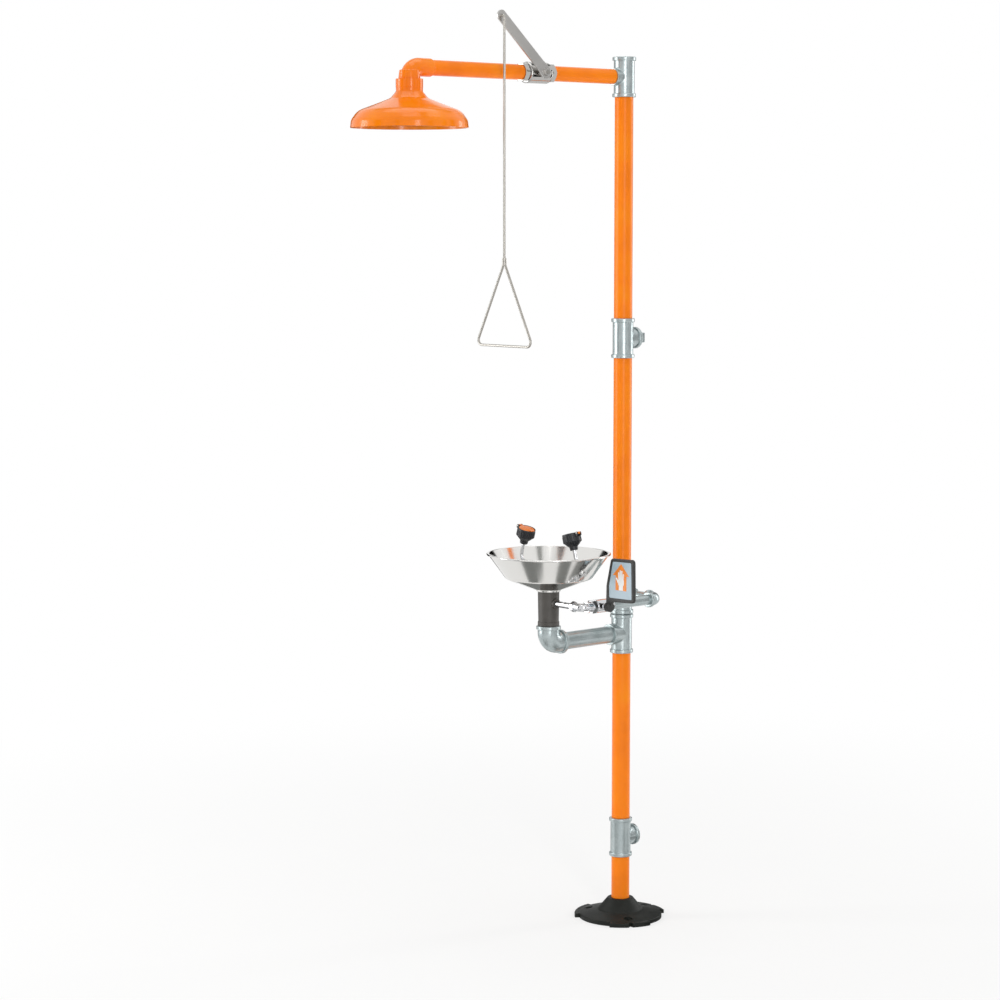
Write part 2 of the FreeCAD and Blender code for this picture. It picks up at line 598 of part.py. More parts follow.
def ball_valve(kind, spot, pipe_od):
    """Valve body along local Z = front, stem towards +X, with its ball, seats and packing nut."""
    flow = facing(RIGHT, FRONT)
    stem_way = facing(UP, RIGHT)

    def own(text):
        return re.sub(r"@", kind + "_", text)

    body = new_body(own("@body"), spot, flow)
    shoulder = own("(@barrel - @flats / 2 + 1) * 0.7")
    barrel = [
        ("0", own("-@half + @hex")),
        (own("@flats / 2 - 1"), own("-@half + @hex")),
        (own("@flats / 2 - 1"), own("-@barrel_half")),
        (own("@barrel"), own("-@barrel_half"), shoulder),
        (own("@barrel"), own("@barrel_half"), shoulder),
        (own("@flats / 2 - 1"), own("@barrel_half")),
        (own("@flats / 2 - 1"), own("@half - @hex")),
        ("0", own("@half - @hex")),
    ]
    turn_profile(body, own("@barrel_form"), barrel)
    boss = [("0", "0"), (own("@boss"), "0"), (own("@boss"), own("@boss_reach")),
            ("0", own("@boss_reach"))]
    turn_profile(body, own("@boss_form"), lying(boss), axis="H_Axis")
    hex_block(body, own("@rear_hex"), own("@flats"), own("-@half"), own("@hex"))
    hex_block(body, own("@front_hex"), own("@flats"), own("@half - @hex"), own("@hex"))
    thread = "(%s) / 2 + thread_gap" % pipe_od
    passage = [
        ("0", own("-@half")),
        (thread, own("-@half")),
        (thread, own("-@half + @socket")),
        (own("@port"), own("-@half + @socket")),
        (own("@port"), own("-@seat")),
        (own("@cavity"), own("-@seat")),
        (own("@cavity"), own("@seat")),
        (own("@port"), own("@seat")),
        (own("@port"), own("@half - @socket")),
        (thread, own("@half - @socket")),
        (thread, own("@half")),
        ("0", own("@half")),
    ]
    turn_profile(body, own("@passage"), passage, groove=True)
    stem_hole = [("0", "0"), (own("@stem + run_gap"), "0"),
                 (own("@stem + run_gap"), own("@boss_reach")), ("0", own("@boss_reach"))]
    turn_profile(body, own("@stem_hole"), lying(stem_hole), axis="H_Axis", groove=True)

    seats = doc.addObject("Part::Cut", own("@seats"))
    seats.Label = own("@seats")
    rings = doc.addObject("Part::Cylinder", own("@seat_rings"))
    bind(rings, "Radius", own("@cavity - thread_gap"))
    bind(rings, "Height", own("2 * @seat"))
    rings.Placement.Rotation = flow
    for letter, text in zip("xyz", spot):
        shift = own(" + @seat") if letter == "y" else ""
        bind(rings, "Placement.Base." + letter, text + shift)
    room = ball_room(kind, spot, own)
    seats.Base = rings
    seats.Tool = room

    ball = doc.addObject("Part::Sphere", own("@ball_form"))
    bind(ball, "Radius", own("@ball"))
    place(ball, spot)
    port = doc.addObject("Part::Cylinder", own("@ball_port"))
    bind(port, "Radius", own("@port"))
    bind(port, "Height", own("4 * @ball"))
    place(port, (spot[0], spot[1], own("%s - 2 * @ball" % spot[2])))
    slot = doc.addObject("Part::Box", own("@ball_slot"))
    bind(slot, "Length", own("@ball"))
    bind(slot, "Width", own("@tang + 2 * thread_gap"))
    bind(slot, "Height", own("2 * @ball"))
    place(slot, (own("%s + @ball - @tang" % spot[0]), own("%s - @tang / 2 - thread_gap" % spot[1]),
                 own("%s - @ball" % spot[2])))
    openings = doc.addObject("Part::MultiFuse", own("@ball_openings"))
    openings.Shapes = [port, slot]
    bored = doc.addObject("Part::Cut", own("@ball"))
    bored.Label = own("@ball")
    bored.Base = ball
    bored.Tool = openings

    nut(own("@packing_nut"), spot, stem_way, own("@gland_flats"), own("@boss_reach"),
        own("@gland"), own("@stem + run_gap"))
    return body


def ball_room(kind, spot, own):
    """Everything between the two seats: the ball's own room, the port and the middle gap."""
    sphere = doc.addObject("Part::Sphere", own("@seat_sphere"))
    bind(sphere, "Radius", own("@ball + run_gap * 5"))
    place(sphere, spot)
    port = doc.addObject("Part::Cylinder", own("@seat_port"))
    bind(port, "Radius", own("@port"))
    bind(port, "Height", own("4 * @seat"))
    port.Placement.Rotation = facing(RIGHT, FRONT)
    for letter, text in zip("xyz", spot):
        shift = own(" + 2 * @seat") if letter == "y" else ""
        bind(port, "Placement.Base." + letter, text + shift)
    middle = doc.addObject("Part::Cylinder", own("@seat_middle"))
    bind(middle, "Radius", own("@cavity + 1"))
    bind(middle, "Height", own("@ball"))
    middle.Placement.Rotation = facing(RIGHT, FRONT)
    for letter, text in zip("xyz", spot):
        shift = own(" + @ball / 2") if letter == "y" else ""
        bind(middle, "Placement.Base." + letter, text + shift)
    room = doc.addObject("Part::MultiFuse", own("@seat_room"))
    room.Shapes = [sphere, port, middle]
    return room


def valve_stem(kind, spot, finish):
    """Round stem with a tang in the ball's slot, standing on the valve's +X side."""
    label = kind + "_stem"
    body = new_body(label + "_piece", spot, facing(UP, RIGHT))
    body.Label = kind.replace("_valve", "_valve_stem")
    start = "%s_ball + 0.5" % kind
    radius = "%s_stem" % kind
    shaft = [("0", start), (radius, start), (radius, finish), ("0", finish)]
    turn_profile(body, label + "_shaft", shaft)
    floor = "{0}_ball - {0}_tang + thread_gap".format(kind)
    sketch = new_sketch(body, label + "_tang_outline", "XY_Plane", floor)
    tang_across = radius + " * 0.9"
    tang_along = "%s_tang / 2" % kind
    draw(sketch, [
        ("-(%s)" % tang_across, "-(%s)" % tang_along),
        (tang_across, "-(%s)" % tang_along),
        (tang_across, tang_along),
        ("-(%s)" % tang_across, tang_along),
    ])
    extrude(body, label + "_tang_form", sketch, "%s_tang + 1" % kind)
    return body


# ---------------------------------------------------------------- floor flange
def floor_flange():
    body = new_body("floor_flange", turn=FreeCAD.Rotation(FreeCAD.Vector(0, 0, 1), -30))
    socket = "stanchion_pipe_od / 2 + thread_gap"
    recess = "stanchion_cover_od / 2 + cover_gap"
    disc = [
        ("stanchion_bore", "0"),
        ("flange_disc_radius", "0"),
        ("flange_disc_radius", "flange_rim", "flange_round"),
        ("flange_foot_radius", "flange_foot_rise", "flange_sweep"),
        ("flange_neck_radius", "flange_top", "flange_round"),
        (recess, "flange_top"),
        (recess, "flange_top - cover_sink"),
        (socket, "flange_top - cover_sink"),
        (socket, "flange_seat"),
        ("stanchion_bore", "flange_seat"),
    ]
    turn_profile(body, "flange_disc", disc)
    tab = [
        ("flange_disc_radius - tab_overlap", "0"),
        ("flange_radius", "0"),
        ("flange_radius", "flange_rim", "flange_round"),
        ("flange_disc_radius - tab_overlap", "flange_rim + 0.5"),
    ]
    tab_form = turn_profile(body, "flange_tab", tab, angle="flange_tab_angle")
    centre = new_sketch(body, "flange_centre", "XY_Plane")
    draw_circle(centre, "flange_radius")
    ring_pattern(body, "flange_tabs", [tab_form], 3, centre)
    cuts = []
    notch = new_sketch(body, "notch_outline", "XY_Plane")
    draw(notch, [
        ("flange_radius + 1", "-notch_half_width"),
        ("flange_radius + 1", "notch_half_width"),
        ("flange_radius - notch_depth", "0", "notch_round"),
    ])
    cuts.append(extrude(body, "notch", notch, "flange_rim * 2", cut=True, flip=True))
    hole = new_sketch(body, "bolt_hole_outline", "XY_Plane")
    draw_circle(hole, "bolt_hole_radius", "bolt_circle / 2")
    cuts.append(extrude(body, "bolt_hole", hole, "flange_foot_rise", cut=True, flip=True))
    spot = new_sketch(body, "bolt_spot_outline", "XY_Plane", "bolt_spot_rise")
    draw_circle(spot, "bolt_spot_radius", "bolt_circle / 2")
    cuts.append(extrude(body, "bolt_spot", spot, "flange_foot_rise", cut=True, flip=True))
    ring_pattern(body, "flange_cuts", cuts, 3, centre)


# ---------------------------------------------------------------- stanchion
def stanchion():
    """Pipe lengths and orange covers between the tees."""
    stations = [
        ("lower", "flange_seat", "flange_top - cover_sink", "waste_tee_rise"),
        ("middle", None, "waste_tee_rise", "drain_tee_rise"),
        ("upper", None, "supply_rise", "inlet_tee_rise"),
        ("top", None, "inlet_tee_rise", "arm_rise"),
    ]
    for name, seat, low, high in stations:
        cover_start = low if seat else "%s + tee_half" % low
        pipe_start = seat or "%s + tee_half - socket_depth" % low
        straight_tube(name + "_pipe", "stanchion_bore", "stanchion_pipe_od / 2", pipe_start,
                      "%s - tee_half + socket_depth" % high)
        cover(name + "_cover", "stanchion_cover_od / 2 - cover_wall", "stanchion_cover_od / 2",
              cover_start, "%s - tee_half" % high)
    tee("waste_tee", ("0", "0", "waste_tee_rise"), facing(BACK, UP),
        "stanchion_pipe_od", "stanchion_bore")
    tee("drain_tee", ("0", "0", "drain_tee_rise"), facing(FRONT, UP),
        "drain_pipe_od", "drain_bore", band="low_band")
    tee("supply_tee", ("0", "0", "supply_rise"), facing(RIGHT, UP),
        "supply_pipe_od", "supply_bore")
    tee("inlet_tee", ("0", "0", "inlet_tee_rise"), facing(BACK, UP),
        "stanchion_pipe_od", "stanchion_bore")
    tee("top_tee", ("0", "0", "arm_rise"), facing(FRONT, UP), "arm_pipe_od", "arm_bore",
        "arm_branch_reach", "low_band")


def blind_nipple():
    """Nipple between the drain and supply tees, closed in the middle so that they don't mix."""
    body = new_body("dividing_nipple", ("0", "0", "drain_tee_rise + tee_half + stack_gap / 2"))
    outer = "stanchion_pipe_od / 2"
    end = "stack_gap / 2 + socket_depth"
    blank = "blind_wall / 2"
    outline = [
        ("0", "-(%s)" % blank),
        ("stanchion_bore", "-(%s)" % blank),
        ("stanchion_bore", "-(%s)" % end),
        (outer, "-(%s)" % end),
        (outer, end),
        ("stanchion_bore", end),
        ("stanchion_bore", blank),
        ("0", blank),
    ]
    turn_profile(body, "nipple_wall", outline)


def inlet_plug():
    """Square-headed plug in the side inlet."""
    body = new_body("inlet_plug", ("0", "0", "inlet_tee_rise"), facing(RIGHT, BACK))
    thread = "stanchion_pipe_od / 2"
    shoulder = "tee_reach + plug_collar"
    outline = [
        ("0", "tee_reach - socket_depth + 2"),
        (thread, "tee_reach - socket_depth + 2"),
        (thread, shoulder, "plug_round"),
        ("0", shoulder),
    ]
    turn_profile(body, "plug_thread", outline)
    head = new_sketch(body, "plug_square", "XY_Plane", shoulder)
    half = "plug_flats / 2"
    draw(head, [
        ("-(%s)" % half, "-(%s)" % half, "plug_round"),
        (half, "-(%s)" % half, "plug_round"),
        (half, half, "plug_round"),
        ("-(%s)" % half, half, "plug_round"),
    ])
    extrude(body, "plug_head_form", head, "plug_head")


# ---------------------------------------------------------------- shower arm and head
def shower_arm():
    """Pipe and covers from the top tee through the valve to the elbow."""
    ahead = facing(RIGHT, FRONT)
    spot = ("0", "0", "arm_rise")
    valve_back = "shower_valve_reach - shower_valve_half"
    valve_front = "shower_valve_reach + shower_valve_half"
    elbow_end = "head_reach - arm_elbow_reach"
    outer = "arm_pipe_od / 2"
    straight_tube("arm_pipe_rear", "arm_bore", outer, "arm_branch_reach - socket_depth",
                  "%s + shower_valve_socket" % valve_back, spot, ahead)
    straight_tube("arm_pipe_front", "arm_bore", outer, "%s - shower_valve_socket" % valve_front,
                  "%s + arm_socket_depth" % elbow_end, spot, ahead)
    skin = "arm_cover_od / 2"
    inside = "arm_cover_od / 2 - arm_cover_wall"
    cover("arm_cover_rear", inside, skin, "arm_branch_reach", valve_back, spot, ahead)
    cover("arm_cover_front", inside, skin, valve_front, elbow_end, spot, ahead)


def arm_elbow():
    """Orange elbow over the head, with a spigot that goes down into the bell."""
    turn = facing(BACK, DOWN)
    body = new_body("arm_elbow", ("0", "-head_reach", "arm_rise"), turn)
    socket = "arm_pipe_od / 2 + thread_gap"
    bend = "arm_elbow_drop"
    lying_leg = [
        ("0", bend),
        ("arm_elbow_socket_radius", bend),
        ("arm_elbow_socket_radius", "arm_elbow_reach", "band_round"),
        ("0", "arm_elbow_reach"),
    ]
    turn_profile(body, "elbow_socket", lying(lying_leg), axis="H_Axis")
    path = [(bend, "0"), ("0", "0", "arm_elbow_drop * 0.98"), ("0", bend)]
    sweep(body, "elbow_bend", path, "arm_elbow_socket_radius")
    skirt = [
        ("0", "arm_elbow_drop * 0.25"),
        ("arm_elbow_socket_radius + 1.6", "arm_elbow_drop * 0.25", "3"),
        ("arm_elbow_leg_radius", "arm_elbow_drop", "1.2"),
        ("0", "arm_elbow_drop"),
    ]
    turn_profile(body, "elbow_skirt", skirt)
    spigot_end = "arm_elbow_drop + spigot_length"
    spigot = [("0", bend), ("arm_pipe_od / 2", bend), ("arm_pipe_od / 2", spigot_end),
              ("0", spigot_end)]
    turn_profile(body, "elbow_spigot", spigot)
    sweep(body, "elbow_passage", path, "arm_bore", cut=True)
    depth = "arm_elbow_reach - arm_socket_depth"
    hollow = [("0", bend), ("arm_bore", bend), ("arm_bore", depth), (socket, depth),
              (socket, "arm_elbow_reach"), ("0", "arm_elbow_reach")]
    turn_profile(body, "elbow_socket_bore", lying(hollow), axis="H_Axis", groove=True)
    turn_profile(body, "elbow_spigot_bore", tube_outline("0", "arm_bore", bend, spigot_end),
                 groove=True)


def shower_head():
    """Bell with its collar and the perforated spray plate."""
    spot = ("0", "-head_reach", "head_rim")
    hole = "arm_pipe_od / 2 + thread_gap"
    collar = new_body("head_collar", ("0", "-head_reach", "head_top"))
    ring = [
        (hole, "0"),
        ("collar_radius", "0", "0.8"),
        ("collar_radius", "collar_height", "0.8"),
        (hole, "collar_height"),
    ]
    turn_profile(collar, "collar_ring", ring)

    bell = new_body("shower_head", spot)
    outline = [
        (hole, "head_height"),
        ("collar_radius - 0.4", "head_height"),
        ("collar_radius - 0.4", "head_height * 0.9", "6"),
        ("head_radius * bell_throat", "head_height * bell_throat_rise", "22"),
        ("head_radius * bell_brow", "head_height * bell_brow_rise", "90"),
        ("head_radius * bell_skirt", "head_height * bell_skirt_rise", "40"),
        ("head_radius * bell_lip", "head_height * bell_lip_rise", "20"),
        ("head_radius", "0"),
        ("head_radius - head_wall", "0"),
        ("head_radius * bell_lip - head_wall", "head_height * bell_lip_rise", "17"),
        ("head_radius * bell_skirt - head_wall * 0.6",
         "head_height * bell_skirt_rise - head_wall * 0.8", "37"),
        ("head_radius * bell_brow", "head_height * bell_brow_rise - head_wall * 1.1", "93"),
        ("head_radius * bell_throat - head_wall * 0.4",
         "head_height * bell_throat_rise - head_wall", "25"),
        ("collar_radius - 0.4 - head_wall", "head_height * 0.86", "4"),
        (hole, "head_height * 0.86"),
    ]
    turn_profile(bell, "bell_wall", outline)

    plate = new_body("spray_plate", spot)
    edge = "head_radius - head_wall * 1.4 - 1.4"
    disc = [
        ("0", "plate_sink"),
        (edge, "plate_sink"),
        (edge, "plate_sink + plate_thick"),
        ("0", "plate_sink + plate_thick"),
    ]
    turn_profile(plate, "plate_disc", disc)
    centre = new_sketch(plate, "plate_centre", "XY_Plane")
    draw_circle(centre, "head_radius")
    for name, share, count in (("inner", 0.22, 8), ("middle", 0.45, 16), ("outer", 0.68, 24)):
        hole_sketch = new_sketch(plate, name + "_jet_outline", "XY_Plane")
        draw_circle(hole_sketch, "jet_radius", "head_radius * %s" % share)
        jet = extrude(plate, name + "_jet", hole_sketch, "plate_sink + plate_thick + 1",
                      cut=True, flip=True)
        ring_pattern(plate, name + "_jets", [jet], count, centre)


# ---------------------------------------------------------------- lever and rod
def shower_lever():
    spot = ("0", "-shower_valve_reach", "arm_rise")
    side = facing(UP, RIGHT)
    valve_stem("shower_valve", spot, "lever_base + lever_thick + lever_nut_height + 2")
    nut("shower_lever_nut", spot, side, "lever_nut_flats", "lever_base + lever_thick",
        "lever_nut_height", "shower_valve_stem + thread_gap")
    angle = math.radians(size("lever_rise_angle"))
    along = FreeCAD.Vector(0, -math.cos(angle), math.sin(angle))
    body = new_body("shower_lever", spot, facing(along, RIGHT))
    outline = new_sketch(body, "lever_outline", "XY_Plane", "lever_base")
    eye = "lever_eye_width / 2"
    half = "lever_width / 2"
    tip = "lever_length + lever_width / 2"
    draw(outline, [
        ("-(%s)" % eye, "-(%s)" % eye, "lever_eye_width * 0.46"),
        ("lever_eye_width", "-(%s)" % half, "10"),
        (tip, "-(%s)" % half, "lever_width * 0.48"),
        (tip, half, "lever_width * 0.48"),
        ("lever_eye_width", half, "10"),
        ("-(%s)" % eye, eye, "lever_eye_width * 0.46"),
    ])
    bar = extrude(body, "lever_bar", outline, "lever_thick")
    doc.recompute()
    soften(body, "lever_rounding", bar, "Z", ("lever_base", "lever_base + lever_thick"),
           "lever_edge")
    holes = new_sketch(body, "lever_holes", "XY_Plane", "lever_base")
    draw_circle(holes, "shower_valve_stem + thread_gap")
    draw_circle(holes, "rod_radius + run_gap", "lever_length")
    extrude(body, "lever_hole_cut", holes, "lever_thick", cut=True, flip=True)


def pull_rod():
    """Bent rod that hangs from the lever's tip and ends in a triangular handle."""
    tip = ("0", "-(shower_valve_reach + tip_forward)", "arm_rise + tip_up")
    body = new_body("pull_rod", tip)
    hook = "lever_base - 6"
    rod = [(hook, "0"), ("rod_side", "0", "rod_stand * 0.7"), ("rod_side", "-rod_drop")]
    sweep(body, "rod_shank", rod, "rod_radius")
    foot = "-rod_drop - triangle_height"
    loop = [
        ("rod_side", "-rod_drop"),
        ("rod_side - triangle_half", foot, "triangle_round"),
        ("rod_side + triangle_half", foot, "triangle_round"),
        ("rod_side", "-rod_drop"),
    ]
    sweep(body, "rod_triangle", loop, "rod_radius")
    ferrule = new_sketch(body, "ferrule_outline", "XY_Plane", "-rod_drop - ferrule_length * 0.4")
    draw_circle(ferrule, "ferrule_radius", "rod_side")
    extrude(body, "ferrule", ferrule, "ferrule_length")
    clip = new_body("rod_retainer", tip, facing(UP, RIGHT))
    ring = tube_outline("rod_radius + thread_gap", "rod_radius * 2", "lever_base - 4",
                        "lever_base - 1")
    turn_profile(clip, "retainer_ring", ring)


# ---------------------------------------------------------------- drain under the bowl
def bowl_drain():
    ahead = facing(RIGHT, FRONT)
    outer = "drain_pipe_od / 2"
    bowl_spot = ("0", "-bowl_reach", "0")
    straight_tube("drain_pipe", "drain_bore", outer, "tee_reach - socket_depth",
                  "bowl_reach - drain_reach + drain_socket", ("0", "0", "drain_tee_rise"), ahead)
    elbow("drain_elbow", ("0", "-bowl_reach", "drain_tee_rise"), facing(BACK, UP),
          "drain_body_radius", "drain_reach", "drain_pipe_od", "drain_bore", "drain_socket")
    riser = straight_tube("waste_riser", "drain_bore", outer,
                          "drain_tee_rise + drain_reach - drain_socket",
                          "bowl_floor_rise - 2", bowl_spot)
    side_hole(riser, "riser_side_hole")

    sleeve = new_body("waste_sleeve", bowl_spot)
    ring = "sleeve_radius"
    inner = "sleeve_radius - sleeve_wall"
    foot = "sleeve_bottom + sleeve_ring"
    outline = [
        (inner, "sleeve_bottom"),
        (ring, "sleeve_bottom", "1.5"),
        (ring, foot, "1"),
        (ring + " - 1.4", foot),
        (ring, "sleeve_top", "1"),
        (inner, "sleeve_top"),
    ]
    turn_profile(sleeve, "sleeve_wall_form", outline)
    boss = new_sketch(sleeve, "sleeve_boss_outline", "YZ_Plane", "sleeve_radius - 4")
    draw_circle(boss, "tube_radius + 5", "0", "supply_rise")
    extrude(sleeve, "sleeve_boss", boss, "7")
    side_hole(sleeve, "sleeve_side_hole")
    throat = tube_outline("0", inner, "sleeve_bottom", "sleeve_top")
    turn_profile(sleeve, "sleeve_throat", throat, groove=True)

    locknut = new_body("bowl_locknut", bowl_spot)
    low = "bowl_floor_rise - locknut_height"
    outline = [
        (outer + " + thread_gap", low),
        ("locknut_radius", low, "1.5"),
        ("locknut_radius + 3", "bowl_floor_rise", "1"),
        (outer + " + thread_gap", "bowl_floor_rise"),
    ]
    turn_profile(locknut, "locknut_ring", outline)


def side_hole(body, name):
    """Hole for the chromed supply tube in the +X wall of an upright tube."""
    sketch = new_sketch(body, name + "_outline", "YZ_Plane")
    draw_circle(sketch, "tube_radius + 0.4", "0", "supply_rise")
    extrude(body, name, sketch, "sleeve_radius * 2", cut=True, flip=True)


def bowl():
    body = new_body("bowl", ("0", "-bowl_reach", "0"))
    drain = "drain_bore"
    lip_inside = "bowl_rim_radius - bowl_lip - bowl_wall * 1.2"
    outline = [
        (drain, "bowl_floor_rise"),
        ("bowl_floor_radius", "bowl_floor_rise", "5"),
        ("bowl_break_radius", "bowl_break_rise", "12"),
        ("bowl_rim_radius - bowl_lip", "bowl_rim_rise - bowl_lip", "1"),
        ("bowl_rim_radius", "bowl_rim_rise - bowl_lip", "bowl_lip * 0.45"),
        ("bowl_rim_radius", "bowl_rim_rise", "bowl_lip * 0.45"),
        (lip_inside, "bowl_rim_rise", "2"),
        ("bowl_break_radius - bowl_wall * 0.656", "bowl_break_rise + bowl_wall * 0.825", "12"),
        ("bowl_floor_radius - bowl_wall * 0.2", "bowl_floor_rise + bowl_wall", "6.5"),
        (drain, "bowl_floor_rise + bowl_wall"),
    ]
    turn_profile(body, "bowl_wall_form", outline)


def strainer():
    """Flanged drain fitting in the bowl's floor, pierced round the supply tube."""
    body = new_body("bowl_strainer", ("0", "-bowl_reach", "0"))
    tube_hole = "tube_radius + thread_gap"
    top = "bowl_floor_rise + bowl_wall"
    tail = "drain_bore - thread_gap"
    outline = [
        (tube_hole, top + " - 2"),
        (tail + " - 2", top + " - 2"),
        (tail + " - 2", top + " - 16"),
        (tail, top + " - 16"),
        (tail, top),
        ("strainer_radius", top),
        ("strainer_radius", top + " + 2.4", "1.2"),
        (tube_hole, top + " + 1.6"),
    ]
    turn_profile(body, "strainer_form", outline)
    centre = new_sketch(body, "strainer_centre", "XY_Plane")
    draw_circle(centre, "strainer_radius")
    hole = new_sketch(body, "strainer_hole_outline", "XY_Plane", top + " - 4")
    draw_circle(hole, "strainer_hole * 0.7", "(tube_radius + drain_bore - 2) / 2")
    cut = extrude(body, "strainer_hole_form", hole, "8", cut=True, flip=True)
    ring_pattern(body, "strainer_holes", [cut], 8, centre)


# ---------------------------------------------------------------- spray heads
def spray_yoke():
    """Chromed hub with two bent stems that carry the spray heads."""
    body = new_body("spray_yoke", ("0", "-bowl_reach", "0"))
    hub = [
        ("0", "yoke_rise - 13"),
        ("tube_radius + 3", "yoke_rise - 13", "1.5"),
        ("tube_radius + 3", "yoke_rise + 9", "3"),
        ("0", "yoke_rise + 9"),
    ]
    turn_profile(body, "yoke_hub", hub)
    for side, sign in (("right", ""), ("left", "-")):
        foot_side = "spray_foot + 38 * sin(spray_tilt)"
        foot_rise = "spray_rise - 38 * cos(spray_tilt)"
        path = [
            ("0", "yoke_rise"),
            (sign + "yoke_reach", "yoke_rise", "22"),
            (sign + "(%s)" % foot_side, foot_rise, "22"),
            (sign + "(spray_foot - 7 * sin(spray_tilt))", "spray_rise + 7 * cos(spray_tilt)"),
        ]
        sweep(body, side + "_stem", path, "yoke_radius")
    seat = tube_outline("0", "tube_radius + thread_gap", "yoke_rise - 13", "yoke_rise - 6")
    turn_profile(body, "yoke_socket", seat, groove=True)


def spray_frame(side):
    """Placement of a spray head: local Z up through it, local X away from the bowl's middle."""
    tilt = math.radians(size("spray_tilt"))
    out = 1 if side == "right" else -1
    up = FreeCAD.Vector(-out * math.sin(tilt), 0, math.cos(tilt))
    away = FreeCAD.Vector(out * math.cos(tilt), 0, math.sin(tilt))
    sign = "" if side == "right" else "-"
    return (sign + "spray_foot", "-bowl_reach", "spray_rise"), facing(away, up)


def spray_head(side):
    spot, turn = spray_frame(side)
    body = new_body(side + "_spray_body", spot, turn)
    stem_hole = "yoke_radius + thread_gap"
    inner = "spray_radius - spray_wall"
    outline = [
        (stem_hole, "0"),
        ("yoke_radius + 5.5", "0", "1.5"),
        ("yoke_radius + 6.5", "9", "2"),
        ("spray_radius * 0.72", "14", "4"),
        ("spray_radius", "spray_height * 0.56", "3"),
        ("spray_radius", "spray_height + spray_lip", "0.8"),
        ("spray_radius - spray_lip_wall", "spray_height + spray_lip"),
        ("spray_radius - spray_lip_wall", "spray_height"),
        (inner, "spray_height"),
        (inner, "spray_height * 0.6"),
        ("spray_radius * 0.5", "17", "2"),
        (stem_hole, "17"),
    ]
    turn_profile(body, side + "_spray_shell", outline)
    lug = new_sketch(body, side + "_lug_outline", "XZ_Plane")
    draw(lug, [
        ("spray_radius - 2", "spray_height - 7"),
        ("hinge_reach + 3", "spray_height - 4", "2"),
        ("hinge_reach + 3", "hinge_rise + 3", "2.4"),
        ("hinge_reach - 3", "hinge_rise + 3", "2.4"),
        ("hinge_reach - 3", "spray_height"),
        ("spray_radius - 2", "spray_height"),
    ])
    extrude(body, side + "_lug", lug, "2 * hinge_half", both=True)
    gap = new_sketch(body, side + "_knuckle_gap_outline", "XZ_Plane")
    draw(gap, [
        ("cap_radius - 1", "spray_height"),
        ("hinge_reach - 4", "spray_height"),
        ("hinge_reach - 4", "spray_height - 12"),
        ("hinge_reach + 5", "spray_height - 12"),
        ("hinge_reach + 5", "hinge_rise + 5"),
        ("cap_radius - 1", "hinge_rise + 5"),
    ])
    extrude(body, side + "_knuckle_gap", gap, "2 * knuckle_half + 0.8", cut=True, both=True)
    pin_hole = new_sketch(body, side + "_pin_hole_outline", "XZ_Plane")
    draw_circle(pin_hole, "hinge_pin + thread_gap", "hinge_reach", "hinge_rise")
    extrude(body, side + "_pin_hole", pin_hole, "4 * hinge_half", cut=True, both=True)

    cap = new_body(side + "_dust_cap", spot, turn)
    floor = "spray_height + cap_gap"
    outline = [
        ("0", floor),
        ("cap_radius", floor, "0.8"),
        ("cap_radius", floor + " + cap_height * 0.66", "2"),
        ("cap_radius * 0.5", floor + " + cap_height", "20"),
        ("0", floor + " + cap_height"),
    ]
    turn_profile(cap, side + "_cap_disc", outline)
    knuckle = new_sketch(cap, side + "_knuckle_outline", "XZ_Plane")
    draw(knuckle, [
        ("cap_radius - 6", floor + " + 0.2"),
        ("hinge_reach - 3", floor + " + 0.2"),
        ("hinge_reach - 3", "hinge_rise - 3", "1.2"),
        ("hinge_reach + 3", "hinge_rise - 3", "2.6"),
        ("hinge_reach + 3", "hinge_rise + 3", "2.6"),
        ("cap_radius - 6", "hinge_rise + 3"),
    ])
    extrude(cap, side + "_knuckle", knuckle, "2 * knuckle_half", both=True)
    tab = new_sketch(cap, side + "_tab_outline", "XZ_Plane")
    tab_low = "spray_height + spray_lip + cap_gap"
    draw(tab, [
        ("-cap_radius - tab_reach", tab_low, "0.6"),
        ("-cap_radius", tab_low),
        ("-cap_radius + 1", tab_low + " - 2"),
        ("-cap_radius + 2 * tab_reach", tab_low + " - 2"),
        ("-cap_radius + 2 * tab_reach", tab_low + " + 1"),
        ("-cap_radius - tab_reach", tab_low + " + 1.8", "0.6"),
    ])
    extrude(cap, side + "_tab", tab, "3 * tab_reach", both=True)
    bore = new_sketch(cap, side + "_cap_bore_outline", "XZ_Plane")
    draw_circle(bore, "hinge_pin + run_gap", "hinge_reach", "hinge_rise")
    extrude(cap, side + "_cap_bore", bore, "4 * hinge_half", cut=True, both=True)

    insert = new_body(side + "_spray_insert", spot, turn)
    edge = inner + " - thread_gap"
    disc = [("0", "spray_height * 0.62"), (edge, "spray_height * 0.62"),
            (edge, "spray_height - 3"), ("0", "spray_height - 3")]
    turn_profile(insert, side + "_insert_disc", disc)
    centre = new_sketch(insert, side + "_insert_centre", "XY_Plane")
    draw_circle(centre, "spray_radius")
    for name, share, count in (("inner", 0.3, 6), ("outer", 0.64, 12)):
        hole = new_sketch(insert, "%s_%s_hole_outline" % (side, name), "XY_Plane")
        draw_circle(hole, "1.3", "spray_radius * %s" % share)
        cut = extrude(insert, "%s_%s_hole" % (side, name), hole, "spray_height", cut=True, flip=True)
        ring_pattern(insert, "%s_%s_holes" % (side, name), [cut], count, centre)
    return insert


